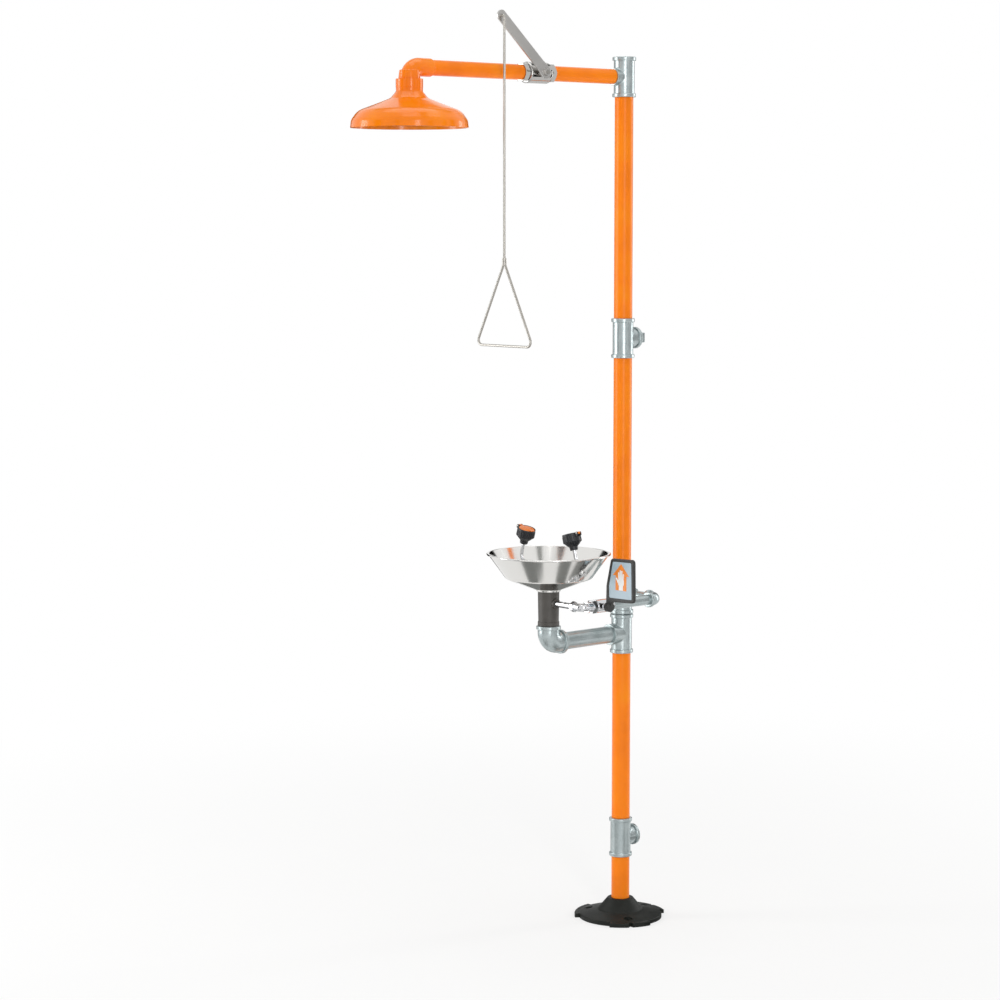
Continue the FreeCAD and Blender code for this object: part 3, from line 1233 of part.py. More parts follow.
def cap_pins():
    """The two dust cap hinge pins, alike and kept together."""
    pins = []
    for side in ("left", "right"):
        spot, turn = spray_frame(side)
        pin = doc.addObject("Part::Cylinder", side + "_cap_pin")
        bind(pin, "Radius", "hinge_pin")
        bind(pin, "Height", "2 * hinge_half")
        sign = 1 if side == "right" else -1
        shift = ("{0} + {1} * (hinge_reach * cos(spray_tilt) - hinge_rise * sin(spray_tilt))",
                 "{0} + hinge_half",
                 "{0} + hinge_reach * sin(spray_tilt) + hinge_rise * cos(spray_tilt)")
        moved = [text.format(base, sign) for text, base in zip(shift, spot)]
        place(pin, moved, facing(RIGHT, FRONT))
        pins.append(pin)
    keep_together("cap_pins", pins)


def keep_together(label, pieces):
    group = doc.addObject("Part::Compound", label)
    group.Label = label
    group.Links = pieces


# ---------------------------------------------------------------- eyewash supply
def eyewash_supply():
    """Supply branch: out along +X, forward past the bowl through the valve, then into the sleeve."""
    ahead = facing(RIGHT, FRONT)
    side = facing(UP, RIGHT)
    outer = "supply_pipe_od / 2"
    straight_tube("supply_nipple", "supply_bore", outer, "tee_reach - socket_depth",
                  "supply_side - supply_elbow_reach + supply_socket",
                  ("0", "0", "supply_rise"), side)
    elbow("supply_elbow", ("supply_side", "0", "supply_rise"), facing(LEFT, FRONT),
          "supply_pipe_od / 2 + supply_elbow_wall", "supply_elbow_reach", "supply_pipe_od", "supply_bore",
          "supply_socket")
    valve_back = "eyewash_valve_reach - eyewash_valve_half"
    valve_front = "eyewash_valve_reach + eyewash_valve_half"
    spot = ("supply_side", "0", "supply_rise")
    straight_tube("supply_pipe", "supply_bore", outer,
                  "supply_elbow_reach - supply_socket",
                  "%s + eyewash_valve_socket" % valve_back, spot, ahead)
    body = new_body("supply_bend", ("supply_side", "-bowl_reach", "supply_rise"),
                    facing(BACK, LEFT))
    leg_radius = "tube_radius + bend_wall"
    bore = "tube_radius - tube_wall"
    gap = "bowl_reach - (%s)" % valve_front
    thread_end = "%s + eyewash_valve_socket" % gap
    middle = "(bend_round + %s) / 2" % gap
    lying_leg = [
        ("0", "bend_round - 1"),
        ("bend_collar", "bend_round - 1", "1"),
        ("bend_collar", "%s - bend_groove / 2" % middle),
        ("bend_collar - bend_groove", "%s - bend_groove / 2" % middle),
        ("bend_collar - bend_groove", "%s + bend_groove / 2" % middle),
        ("bend_collar", "%s + bend_groove / 2" % middle),
        ("bend_collar", gap, "0.6"),
        (outer, gap),
        (outer, thread_end),
        ("0", thread_end),
    ]
    turn_profile(body, "bend_lying_leg", lying(lying_leg), axis="H_Axis")
    leg = [("0", "bend_round"), (leg_radius, "bend_round"), (leg_radius, "bend_reach", "1"),
           ("0", "bend_reach")]
    turn_profile(body, "bend_standing_leg", leg)
    path = [("bend_round + 0.5", "0"), ("0", "0", "bend_round"), ("0", "bend_round + 0.5")]
    sweep(body, "bend_corner", path, leg_radius)
    sweep(body, "bend_passage", path, bore, cut=True)
    hollow = tube_outline("0", bore, "bend_round", thread_end)
    turn_profile(body, "bend_inlet", lying(hollow), axis="H_Axis", groove=True)
    socket = tube_outline("0", "tube_radius + thread_gap", "bend_round + 2", "bend_reach")
    turn_profile(body, "bend_outlet", socket, groove=True)

    tube = new_body("supply_tube", ("0", "-bowl_reach", "0"))
    path = [
        ("supply_side - bend_round - 2", "supply_rise"),
        ("0", "supply_rise", "tube_bend"),
        ("0", "yoke_rise - 6"),
    ]
    sweep(tube, "tube_outside", path, "tube_radius")
    sweep(tube, "tube_inside", path, "tube_radius - tube_wall", cut=True)
    nut("tube_nut", ("0", "-bowl_reach", "supply_rise"), side, "tube_od + 8",
        "supply_side - bend_reach - 11", "11", "tube_radius + thread_gap")


def push_flag():
    """Flag on the eyewash valve's stem: a hub, a framed plate and its label."""
    spot = ("supply_side", "-eyewash_valve_reach", "supply_rise")
    valve_stem("eyewash_valve", spot, "hub_base + hub_length - 3")
    body = new_body("push_flag", spot)
    plate = new_sketch(body, "flag_outline", "XZ_Plane")
    draw(plate, [
        ("hub_base", "0", "4"),
        ("hub_base + hub_length", "0", "4"),
        ("flag_left + 26", "flag_low", "12"),
        ("flag_right", "flag_low + 4", "flag_round"),
        ("flag_right - 2", "flag_high + 3", "flag_round"),
        ("flag_left_top", "flag_high", "flag_round"),
        ("flag_left + 5", "flag_knee", "20"),
        ("hub_base", "flag_low + 8", "8"),
    ])
    pad = extrude(body, "flag_plate", plate, "flag_thick", both=True)
    doc.recompute()
    soften(body, "flag_rounding", pad, "Y", ("-flag_thick / 2", "flag_thick / 2"), "flag_edge")
    hub = [("0", "hub_base"), ("hub_radius", "hub_base", "1.5"),
           ("hub_radius", "hub_base + hub_length", "3"), ("0", "hub_base + hub_length")]
    turn_profile(body, "flag_hub", lying(hub), axis="H_Axis")
    recess = new_sketch(body, "flag_recess_outline", "XZ_Plane", "flag_thick / 2")
    draw(recess, label_outline("0"))
    extrude(body, "flag_recess", recess, "label_sink", cut=True)
    bore = [("0", "hub_base"), ("eyewash_valve_stem + thread_gap", "hub_base"),
            ("eyewash_valve_stem + thread_gap", "hub_base + hub_length - 3"),
            ("0", "hub_base + hub_length - 3")]
    turn_profile(body, "flag_bore", lying(bore), axis="H_Axis", groove=True)

    label = new_body("flag_label", spot)
    face = new_sketch(label, "label_face", "XZ_Plane", "flag_thick / 2 - label_sink")
    draw(face, label_outline("label_gap"))
    extrude(label, "label_sheet", face, "label_thick")


def label_outline(inset):
    """Outline of the label's recess inside the flag's border, moved in by a gap."""
    border = "(flag_border + %s)" % inset
    return [
        ("flag_left + 9 + " + border, "flag_low + 3 + " + border, "4"),
        ("flag_right - 1 - " + border, "flag_low + 5 + " + border, "4"),
        ("flag_right - 3 - " + border, "flag_high + 2 - " + border, "4"),
        ("flag_left_top + " + border, "flag_high - " + border, "4"),
        ("flag_left + 8 + " + border, "flag_knee", "20"),
    ]


floor_flange()
stanchion()
blind_nipple()
inlet_plug()
shower_arm()
ball_valve("shower_valve", ("0", "-shower_valve_reach", "arm_rise"), "arm_pipe_od")
arm_elbow()
shower_head()
shower_lever()
pull_rod()
bowl_drain()
bowl()
strainer()
spray_yoke()
inserts = [spray_head("left"), spray_head("right")]
keep_together("spray_inserts", inserts)
cap_pins()
eyewash_supply()
ball_valve("eyewash_valve", ("supply_side", "-eyewash_valve_reach", "supply_rise"),
           "supply_pipe_od")
push_flag()
doc.recompute()

# ---------------------------------------------------------------- checks and export
faults = []
for thing in doc.Objects:
    if "Invalid" in thing.State or "Error" in thing.State:
        faults.append("%s is %s" % (thing.Name, thing.State))
PIECES = [thing for thing in doc.Objects
          if thing.isDerivedFrom("PartDesign::Body") and thing not in inserts]
PIECES += [doc.getObject(name) for name in (
    "shower_valve_seats", "shower_valve_ball", "eyewash_valve_seats", "eyewash_valve_ball",
    "cap_pins", "spray_inserts")]
for piece in PIECES:
    if piece.Shape.isNull() or not piece.Shape.isValid() or not piece.Shape.Solids:
        faults.append("%s has no valid solid" % piece.Label)
if faults:
    raise SystemExit("\n".join(faults))
os.makedirs("parts", exist_ok=True)
for piece in PIECES:
    piece.Shape.exportStep("parts/%s.step" % piece.Label)
print("%d pieces written" % len(PIECES))
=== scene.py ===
import bpy
import math
from mathutils import Matrix, Vector


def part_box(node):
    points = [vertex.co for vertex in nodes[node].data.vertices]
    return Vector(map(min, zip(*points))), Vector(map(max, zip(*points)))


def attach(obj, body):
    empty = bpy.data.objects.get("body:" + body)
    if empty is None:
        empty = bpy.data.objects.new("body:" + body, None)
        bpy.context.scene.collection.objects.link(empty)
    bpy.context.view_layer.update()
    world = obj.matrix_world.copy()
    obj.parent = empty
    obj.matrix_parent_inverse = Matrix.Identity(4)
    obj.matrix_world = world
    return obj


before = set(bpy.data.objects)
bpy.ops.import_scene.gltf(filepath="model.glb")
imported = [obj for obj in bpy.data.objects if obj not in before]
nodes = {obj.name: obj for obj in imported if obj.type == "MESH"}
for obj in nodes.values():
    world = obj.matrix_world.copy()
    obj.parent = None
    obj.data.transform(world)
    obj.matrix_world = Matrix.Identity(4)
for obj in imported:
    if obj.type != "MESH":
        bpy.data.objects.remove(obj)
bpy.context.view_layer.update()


bpy.ops.object.select_all(action="DESELECT")
print("frame loaded:", len(nodes), "nodes")

# the added pieces and the spun rings are placed from these
bowlLow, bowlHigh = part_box("bowl")
bowlCentre = (bowlLow + bowlHigh) / 2
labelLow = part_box("flag_label")[0]


def linearColour(hexText):
    # from sRGB hex to linear, with full opacity
    channels = [int(hexText[i:i + 2], 16) / 255 for i in (1, 3, 5)]
    linear = [c / 12.92 if c <= 0.04045 else ((c + 0.055) / 1.055) ** 2.4 for c in channels]
    return (*linear, 1)


def addNode(tree, kind, settings=None, links=None):
    # settings go to properties or inputs by name, links to inputs from output sockets
    node = tree.nodes.new(kind)
    for name, value in (settings or {}).items():
        if isinstance(name, str) and hasattr(node, name):
            setattr(node, name, value)
        else:
            node.inputs[name].default_value = value
    for name, socket in (links or {}).items():
        tree.links.new(socket, node.inputs[name])
    return node


def startMaterial(name, settings):
    material = bpy.data.materials.new(name)
    material.use_nodes = True
    tree = material.node_tree
    shader = tree.nodes["Principled BSDF"]
    for socket, value in settings.items():
        shader.inputs[socket].default_value = value
    return material, tree, shader


def colourBetween(tree, factor, hexes, stops=None):
    ramp = addNode(tree, "ShaderNodeValToRGB", links={"Fac": factor})
    elements = ramp.color_ramp.elements
    stops = stops or [i / (len(hexes) - 1) for i in range(len(hexes))]
    while len(elements) < len(hexes):
        elements.new(0.5)
    for element, hexText, stop in zip(elements, hexes, stops):
        element.position = stop
        element.color = linearColour(hexText)
    return ramp.outputs["Color"]


def numberBetween(tree, factor, low, high):
    spread = addNode(tree, "ShaderNodeMapRange", {"To Min": low, "To Max": high}, {"Value": factor})
    return spread.outputs["Result"]


def patternPlace(tree, stretch=(1, 1, 1), centre=(0, 0, 0), turn=0):
    # turn is about X, in degrees, and comes before the stretch
    coordinates = addNode(tree, "ShaderNodeTexCoord")
    shift = addNode(tree, "ShaderNodeVectorMath", {"operation": "SUBTRACT"},
                    {0: coordinates.outputs["Object"]})
    shift.inputs[1].default_value = centre
    turned = addNode(tree, "ShaderNodeMapping", {"Rotation": (math.radians(turn), 0, 0)},
                     {"Vector": shift.outputs["Vector"]})
    mapping = addNode(tree, "ShaderNodeMapping", {"Scale": stretch},
                      {"Vector": turned.outputs["Vector"]})
    return mapping.outputs["Vector"]


def perMillimetre(size):
    # pattern scale for features of this many millimetres, in metres of object space
    return 1000.0 / size


def addBump(tree, shader, height, depth, strength=1.0):
    bump = addNode(tree, "ShaderNodeBump", {"Strength": strength, "Distance": depth},
                   {"Height": height})
    tree.links.new(bump.outputs["Normal"], shader.inputs["Normal"])


plasticIor = 1.5  # of all the plastics and the black coating

# orange ABS and PVC: extruded covers have faint draw lines along the tube, moulded parts a soft
# orange peel; all are glossy, the big bell most of all
orangePlastic = {"colours": ("#F67C00", "#FF8400", "#FF8D00"), "peel": 2.2, "cloud": 70,
                 "drawLine": 1.6, "shine": 0.26, "coatBlur": 0.1, "coverGloss": (0.26, 0.36),
                 "coverCoat": 0.0, "bellGloss": (0.16, 0.24), "bellCoat": 0.2, "relief": 0.00003}


def makeOrangePlastic(name, stretch, gloss, coat):
    material, tree, shader = startMaterial(name, {
        "IOR": plasticIor, "Specular IOR Level": orangePlastic["shine"],
        "Coat Weight": coat, "Coat Roughness": orangePlastic["coatBlur"]})
    place = patternPlace(tree)
    cloud = addNode(tree, "ShaderNodeTexNoise", {"Scale": perMillimetre(orangePlastic["cloud"]),
                                                 "Detail": 3}, {"Vector": place})
    lines = addNode(tree, "ShaderNodeTexNoise",
                    {"Scale": perMillimetre(orangePlastic["drawLine"]), "Detail": 2},
                    {"Vector": patternPlace(tree, stretch)})
    peel = addNode(tree, "ShaderNodeTexNoise", {"Scale": perMillimetre(orangePlastic["peel"]),
                                                "Detail": 1}, {"Vector": place})
    tree.links.new(colourBetween(tree, cloud.outputs["Fac"], orangePlastic["colours"],
                                 (0.25, 0.5, 0.75)), shader.inputs["Base Color"])
    tree.links.new(numberBetween(tree, lines.outputs["Fac"], *gloss), shader.inputs["Roughness"])
    mixed = addNode(tree, "ShaderNodeMath", {"operation": "ADD"},
                    {0: lines.outputs["Fac"], 1: peel.outputs["Fac"]})
    addBump(tree, shader, mixed.outputs["Value"], orangePlastic["relief"])
    return material


# hot-dip galvanized steel: a smooth blue-grey zinc skin with faint crystals; castings show a
# little of the sand they were cast in
galvanized = {"colours": ("#A2ADAE", "#B1BBBC", "#BEC7C7"), "metal": 0.8, "spangle": 4,
              "cloud": 30, "spangleShare": 0.16, "cloudShare": 0.84, "roughness": (0.25, 0.36),
              "castGrain": 2.2, "castDepth": 0.00007, "pipeGrain": 3.0, "pipeDepth": 0.00002}


def makeGalvanized(name, depth, grain):
    material, tree, shader = startMaterial(name, {"Metallic": galvanized["metal"]})
    place = patternPlace(tree)
    crystals = addNode(tree, "ShaderNodeTexVoronoi",
                       {"Scale": perMillimetre(galvanized["spangle"]), "Randomness": 1},
                       {"Vector": place})
    grey = addNode(tree, "ShaderNodeSeparateColor", links={"Color": crystals.outputs["Color"]})
    cloud = addNode(tree, "ShaderNodeTexNoise",
                    {"Scale": perMillimetre(galvanized["cloud"]), "Detail": 4},
                    {"Vector": place})
    faint = addNode(tree, "ShaderNodeMath",
                    {"operation": "MULTIPLY", 1: galvanized["spangleShare"]},
                    {0: grey.outputs["Red"]})
    blend = addNode(tree, "ShaderNodeMath",
                    {"operation": "MULTIPLY_ADD", 1: galvanized["cloudShare"]},
                    {0: cloud.outputs["Fac"], 2: faint.outputs["Value"]})
    tree.links.new(colourBetween(tree, blend.outputs["Value"], galvanized["colours"],
                                 (0.25, 0.5, 0.75)), shader.inputs["Base Color"])
    tree.links.new(numberBetween(tree, blend.outputs["Value"], *galvanized["roughness"]),
                   shader.inputs["Roughness"])
    sand = addNode(tree, "ShaderNodeTexNoise", {"Scale": perMillimetre(grain), "Detail": 4},
                   {"Vector": place})
    addBump(tree, shader, sand.outputs["Fac"], depth)
    return material


# chrome and nickel plate: mirror bright, with the faintest wipe marks in its gloss; the big
# valve's nickel is greyer and a little softer
plating = {"wipe": 14, "relief": 0.00006,
           "chrome": ("#D4D5D7", (0.03, 0.11)), "nickel": ("#B4B2AF", (0.05, 0.13))}


def makePlating(name, colour, gloss):
    material, tree, shader = startMaterial(name, {"Base Color": linearColour(colour),
                                                  "Metallic": 1.0})
    smudge = addNode(tree, "ShaderNodeTexNoise",
                     {"Scale": perMillimetre(plating["wipe"]), "Detail": 5},
                     {"Vector": patternPlace(tree)})
    tree.links.new(numberBetween(tree, smudge.outputs["Fac"], *gloss),
                   shader.inputs["Roughness"])
    addBump(tree, shader, smudge.outputs["Fac"], plating["relief"])
    return material


# stainless steel, spun and polished: fine rings run round the axis, drawn 2.2 mm apart so that
# they show
spunSteel = {"colour": "#E2E1DE", "grainPull": 0.35, "ring": 2.2, "waver": 0.6, "cloud": 45,
             "roughness": (0.11, 0.2), "relief": 0.000003}


ringsPerScale = 20  # the wave texture turns its distance by 20 radians for each unit of scale


def makeSpunSteel(name, centre):
    material, tree, shader = startMaterial(name, {"Base Color": linearColour(spunSteel["colour"]),
                                                  "Metallic": 1.0,
                                                  "Anisotropic": spunSteel["grainPull"]})
    place = patternPlace(tree, centre=centre)
    rings = addNode(tree, "ShaderNodeTexWave",
                    {"wave_type": "RINGS", "rings_direction": "Z",
                     "Scale": perMillimetre(spunSteel["ring"]) * math.tau / ringsPerScale,
                     "Distortion": spunSteel["waver"], "Detail": 2, "Detail Scale": 3},
                    {"Vector": place})
    cloud = addNode(tree, "ShaderNodeTexNoise",
                    {"Scale": perMillimetre(spunSteel["cloud"]), "Detail": 3},
                    {"Vector": place})
    mixed = addNode(tree, "ShaderNodeMath", {"operation": "MULTIPLY"},
                    {0: rings.outputs["Fac"], 1: cloud.outputs["Fac"]})
    tree.links.new(numberBetween(tree, mixed.outputs["Value"], *spunSteel["roughness"]),
                   shader.inputs["Roughness"])
    addBump(tree, shader, rings.outputs["Fac"], spunSteel["relief"])
    return material


# stainless bar and rod, drawn lengthwise: fine, faint lines along the piece; the bar slopes by
# leverSlope from the arm's direction
drawnSteel = {"line": 0.7, "cloud": 60, "relief": 0.000002, "leverSlope": -42,
              "rod": (("#A8A59F", "#AFACA6"), (0.33, 0.37)),
              "bar": (("#BEBCB9", "#C6C4C1"), (0.3, 0.34))}


def makeDrawnSteel(name, stretch, colours, gloss, turn=0):
    material, tree, shader = startMaterial(name, {"Metallic": 1.0})
    lines = addNode(tree, "ShaderNodeTexNoise",
                    {"Scale": perMillimetre(drawnSteel["line"]), "Detail": 2},
                    {"Vector": patternPlace(tree, stretch, turn=turn)})
    cloud = addNode(tree, "ShaderNodeTexNoise",
                    {"Scale": perMillimetre(drawnSteel["cloud"]), "Detail": 2},
                    {"Vector": patternPlace(tree)})
    tree.links.new(colourBetween(tree, cloud.outputs["Fac"], colours, (0.35, 0.65)),
                   shader.inputs["Base Color"])
    tree.links.new(numberBetween(tree, lines.outputs["Fac"], *gloss),
                   shader.inputs["Roughness"])
    addBump(tree, shader, lines.outputs["Fac"], drawnSteel["relief"])
    return material


# black coating on grey cast iron: satin, with the sand texture showing through the coat
coatedIron = {"colours": ("#0E110E", "#171A16", "#212320"), "shine": 0.22, "sand": 1.8,
              "cloud": 50, "roughness": (0.42, 0.62), "relief": 0.00025}


def makeCoatedIron(name):
    material, tree, shader = startMaterial(name, {"IOR": plasticIor,
                                                  "Specular IOR Level": coatedIron["shine"]})
    place = patternPlace(tree)
    sand = addNode(tree, "ShaderNodeTexNoise",
                   {"Scale": perMillimetre(coatedIron["sand"]), "Detail": 6}, {"Vector": place})
    cloud = addNode(tree, "ShaderNodeTexNoise",
                    {"Scale": perMillimetre(coatedIron["cloud"]), "Detail": 3}, {"Vector": place})
    tree.links.new(colourBetween(tree, cloud.outputs["Fac"], coatedIron["colours"],
                                 (0.3, 0.5, 0.75)), shader.inputs["Base Color"])
    tree.links.new(numberBetween(tree, sand.outputs["Fac"], *coatedIron["roughness"]),
                   shader.inputs["Roughness"])
    addBump(tree, shader, sand.outputs["Fac"], coatedIron["relief"])
    return material


# moulded plastics: a spark-eroded grain about half a millimetre across, little colour variation;
# film and print are smoother and wave only slightly
moulded = {"cloud": 25, "texture": (0.6, 0.00004), "film": (2.0, 0.00001)}


def makeMouldedPlastic(name, colours, roughness, surface="texture"):
    grain, depth = moulded[surface]
    material, tree, shader = startMaterial(name, {"IOR": plasticIor})
    place = patternPlace(tree)
    cloud = addNode(tree, "ShaderNodeTexNoise",
                    {"Scale": perMillimetre(moulded["cloud"]), "Detail": 3}, {"Vector": place})
    eroded = addNode(tree, "ShaderNodeTexNoise", {"Scale": perMillimetre(grain), "Detail": 3},
                     {"Vector": place})
    tree.links.new(colourBetween(tree, cloud.outputs["Fac"], colours, (0.3, 0.7)),
                   shader.inputs["Base Color"])
    tree.links.new(numberBetween(tree, eroded.outputs["Fac"], *roughness),
                   shader.inputs["Roughness"])
    addBump(tree, shader, eroded.outputs["Fac"], depth)
    return material


upright = (1, 1, 0.02)  # patterns drawn out along Z
lengthwise = (1, 0.02, 1)  # along the arm, which lies on Y
finishes = {
    "coverUpright": makeOrangePlastic("extruded orange PVC, upright", upright,
                                      orangePlastic["coverGloss"],
                                      orangePlastic["coverCoat"]),
    "coverArm": makeOrangePlastic("extruded orange PVC, arm", lengthwise,
                                  orangePlastic["coverGloss"], orangePlastic["coverCoat"]),
    "orangeMoulding": makeOrangePlastic("moulded orange ABS, glossy", (0.6, 0.6, 0.6),
                                        orangePlastic["bellGloss"],
                                        orangePlastic["bellCoat"]),
    "casting": makeGalvanized("galvanized malleable iron, sand cast", galvanized["castDepth"],
                              galvanized["castGrain"]),
    "pipe": makeGalvanized("galvanized steel pipe, drawn", galvanized["pipeDepth"],
                           galvanized["pipeGrain"]),
    "chrome": makePlating("chrome plate on brass, polished", *plating["chrome"]),
    "nickel": makePlating("nickel plate on brass, polished", *plating["nickel"]),
    "bowlSteel": makeSpunSteel("stainless steel, spun and polished", bowlCentre),
    "rodSteel": makeDrawnSteel("stainless steel rod, drawn", upright, *drawnSteel["rod"]),
    "barSteel": makeDrawnSteel("stainless steel bar, rolled", lengthwise, *drawnSteel["bar"],
                               drawnSteel["leverSlope"]),
    "iron": makeCoatedIron("grey cast iron, black coated"),
    "greySleeve": makeMouldedPlastic("polypropylene, moulded dark grey", ("#423F3B", "#4C4945"),
                                     (0.42, 0.55)),
    "blackPlastic": makeMouldedPlastic("nylon, moulded black", ("#141519", "#1F2125"),
                                       (0.32, 0.48)),
    "flagPlastic": makeMouldedPlastic("ABS, moulded charcoal", ("#262624", "#30302E"),
                                      (0.38, 0.52)),
    "capOrange": makeMouldedPlastic("ABS, moulded orange", ("#EA7600", "#F48604"), (0.28, 0.4)),
    "labelFilm": makeMouldedPlastic("polyester label film, printed pale blue",
                                    ("#A9BDC9", "#B5C7D1"), (0.3, 0.38), "film"),
    "printOrange": makeMouldedPlastic("screen print, orange", ("#EE8212", "#F58E20"),
                                      (0.34, 0.42), "film"),
    "printWhite": makeMouldedPlastic("screen print, white", ("#EDEEEC", "#F6F6F4"),
                                     (0.34, 0.42), "film"),
    "sealWhite": makeMouldedPlastic("PTFE, turned", ("#E6E5DF", "#F0EFEA"), (0.35, 0.45)),
    # painted shade: the spray plate deep in the bell is coloured dark brown, standing in for the
    # shade in the bell's hollow rather than the plate's own colour
    "plateInPaintedShade": makeMouldedPlastic("spray plate, dark brown painted shade", ("#2A1610", "#38201A"),
                                    (0.3, 0.42)),
}

finishOf = {
    "coverUpright": ["lower_cover", "middle_cover", "upper_cover", "top_cover"],
    "coverArm": ["arm_cover_rear", "arm_cover_front"],
    "orangeMoulding": ["arm_elbow", "head_collar", "shower_head"],
    "casting": ["waste_tee", "drain_tee", "supply_tee", "inlet_tee", "top_tee", "inlet_plug",
                "drain_elbow", "supply_elbow"],
    "pipe": ["lower_pipe", "middle_pipe", "upper_pipe", "top_pipe", "arm_pipe_rear",
             "arm_pipe_front", "dividing_nipple", "drain_pipe", "waste_riser", "supply_nipple",
             "supply_pipe"],
    "nickel": ["shower_valve_body", "shower_valve_packing_nut"],
    "chrome": ["shower_valve_ball", "eyewash_valve_body", "eyewash_valve_ball",
               "eyewash_valve_packing_nut", "supply_bend", "supply_tube", "tube_nut",
               "spray_yoke"],
    "bowlSteel": ["bowl", "bowl_strainer", "bowl_locknut"],
    "rodSteel": ["pull_rod", "rod_retainer", "cap_pins", "shower_valve_stem",
                 "eyewash_valve_stem"],
    "barSteel": ["shower_lever", "shower_lever_nut"],
    "iron": ["floor_flange"],
    "greySleeve": ["waste_sleeve"],
    "blackPlastic": ["left_spray_body", "right_spray_body", "spray_inserts"],
    "flagPlastic": ["push_flag"],
    "capOrange": ["left_dust_cap", "right_dust_cap"],
    "labelFilm": ["flag_label"],
    "sealWhite": ["shower_valve_seats", "eyewash_valve_seats"],
    # the spray plate carries the dark brown painted shade of the bell's hollow
    "plateInPaintedShade": ["spray_plate"],
}
for finish, members in finishOf.items():
    for name in members:
        mesh = nodes[name].data
        mesh.materials.clear()
        mesh.materials.append(finishes[finish])
print("finishes given to", sum(len(members) for members in finishOf.values()), "nodes")


def startEdit():
    bpy.ops.object.mode_set(mode="EDIT")
    bpy.ops.mesh.select_all(action="SELECT")


def closeEdit():
    bpy.ops.mesh.select_all(action="SELECT")
    bpy.ops.mesh.remove_doubles(threshold=0.000001)
    bpy.ops.mesh.normals_make_consistent(inside=False)
    bpy.ops.object.mode_set(mode="OBJECT")


def joinPieces(name, pieces, finish, body):
    bpy.ops.object.select_all(action="DESELECT")
    for piece in pieces:
        piece.select_set(True)
    bpy.context.view_layer.objects.active = pieces[0]
    if len(pieces) > 1:
        bpy.ops.object.join()
    whole = bpy.context.object
    whole.name = name
    whole.data.materials.clear()
    whole.data.materials.append(finishes[finish])
    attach(whole, body)
    return whole


def millimetres(*values):
    return tuple(value / 1000 for value in values)


# print on the flag's label: an arrow with an open hand on it, each a thin raised layer.
# spots are right of and above the label's lower left corner, in mm
pictogram = {"middle": 44, "shaft": (40, 42), "shaftCorner": 2.0, "shaftRise": 43,
             "headSize": (60, 31), "headCorner": 1.2, "headFoot": 60,
             "orangeFilm": 0.22, "orangeLift": 0.01, "whiteFilm": 0.2, "filmStep": 0.02}


def labelSpot(spot, lift):
    right, outward, up = millimetres(spot[0], lift, spot[1])
    return (labelLow.x + right, labelLow.y - outward, labelLow.z + up)


def raiseFilm(film):
    bpy.ops.mesh.select_all(action="SELECT")
    bpy.ops.mesh.extrude_region_move(TRANSFORM_OT_translate={"value": millimetres(0, -film, 0)})


def addPlate(spot, size, corner, film, lift, tilt=0):
    # rounded plate standing on the label's face; spot is its middle
    place = labelSpot(spot, lift)
    bpy.ops.mesh.primitive_plane_add(size=1, location=place,
                                     rotation=(math.radians(90), math.radians(tilt), 0))
    plate = bpy.context.object
    plate.scale = millimetres(size[0], size[1], 1000)
    bpy.ops.object.transform_apply(location=True, rotation=True, scale=True)
    startEdit()
    bpy.ops.mesh.bevel(offset=corner / 1000, segments=6, affect="VERTICES")
    raiseFilm(film)
    closeEdit()
    return plate


def addArrowHead(spot, size, corner, film, lift):
    # a triangle on a circle of radius 1 is the root of 3 wide and 1.5 high
    bpy.ops.mesh.primitive_circle_add(vertices=3, radius=1, fill_type="NGON",
                                      location=labelSpot(spot, lift),
                                      rotation=(math.radians(90), 0, 0))
    head = bpy.context.object
    head.scale = millimetres(size[0] / math.sqrt(3), size[1] / 1.5, 1000)
    bpy.ops.object.transform_apply(location=True, rotation=True, scale=True)
    startEdit()
    bpy.ops.mesh.bevel(offset=corner / 1000, segments=5, affect="VERTICES")
    raiseFilm(film)
    closeEdit()
    return head


film, lift = pictogram["orangeFilm"], pictogram["orangeLift"]
shaft = addPlate((pictogram["middle"], pictogram["shaftRise"]), pictogram["shaft"],
                 pictogram["shaftCorner"], film, lift)
head = addArrowHead((pictogram["middle"], pictogram["headFoot"] + pictogram["headSize"][1] / 3),
                    pictogram["headSize"], pictogram["headCorner"], film + lift, lift)
joinPieces("label_arrow", [shaft, head], "printOrange", "flag")

# hand: wrist, palm, four fingers and a thumb; spot, size, corner, tilt
hand = [
    ((44, 29.5), (15, 14), 0.8, 0),
    ((44, 43), (21, 18), 5.0, 0),
    ((36.4, 58.5), (4.5, 21), 2.1, -5),
    ((41.6, 62), (4.6, 26), 2.2, -1),
    ((46.8, 61), (4.6, 25), 2.2, 2),
    ((51.8, 57), (4.2, 18), 2.0, 7),
    ((31.6, 47), (4.8, 17), 2.3, -36),
]
handPieces = []
for index, (spot, size, corner, tilt) in enumerate(hand):
    thickness = pictogram["whiteFilm"] + index * pictogram["filmStep"]
    handPieces.append(addPlate(spot, size, corner, thickness, film, tilt))
joinPieces("label_hand", handPieces, "printWhite", "flag")
print("label printed")

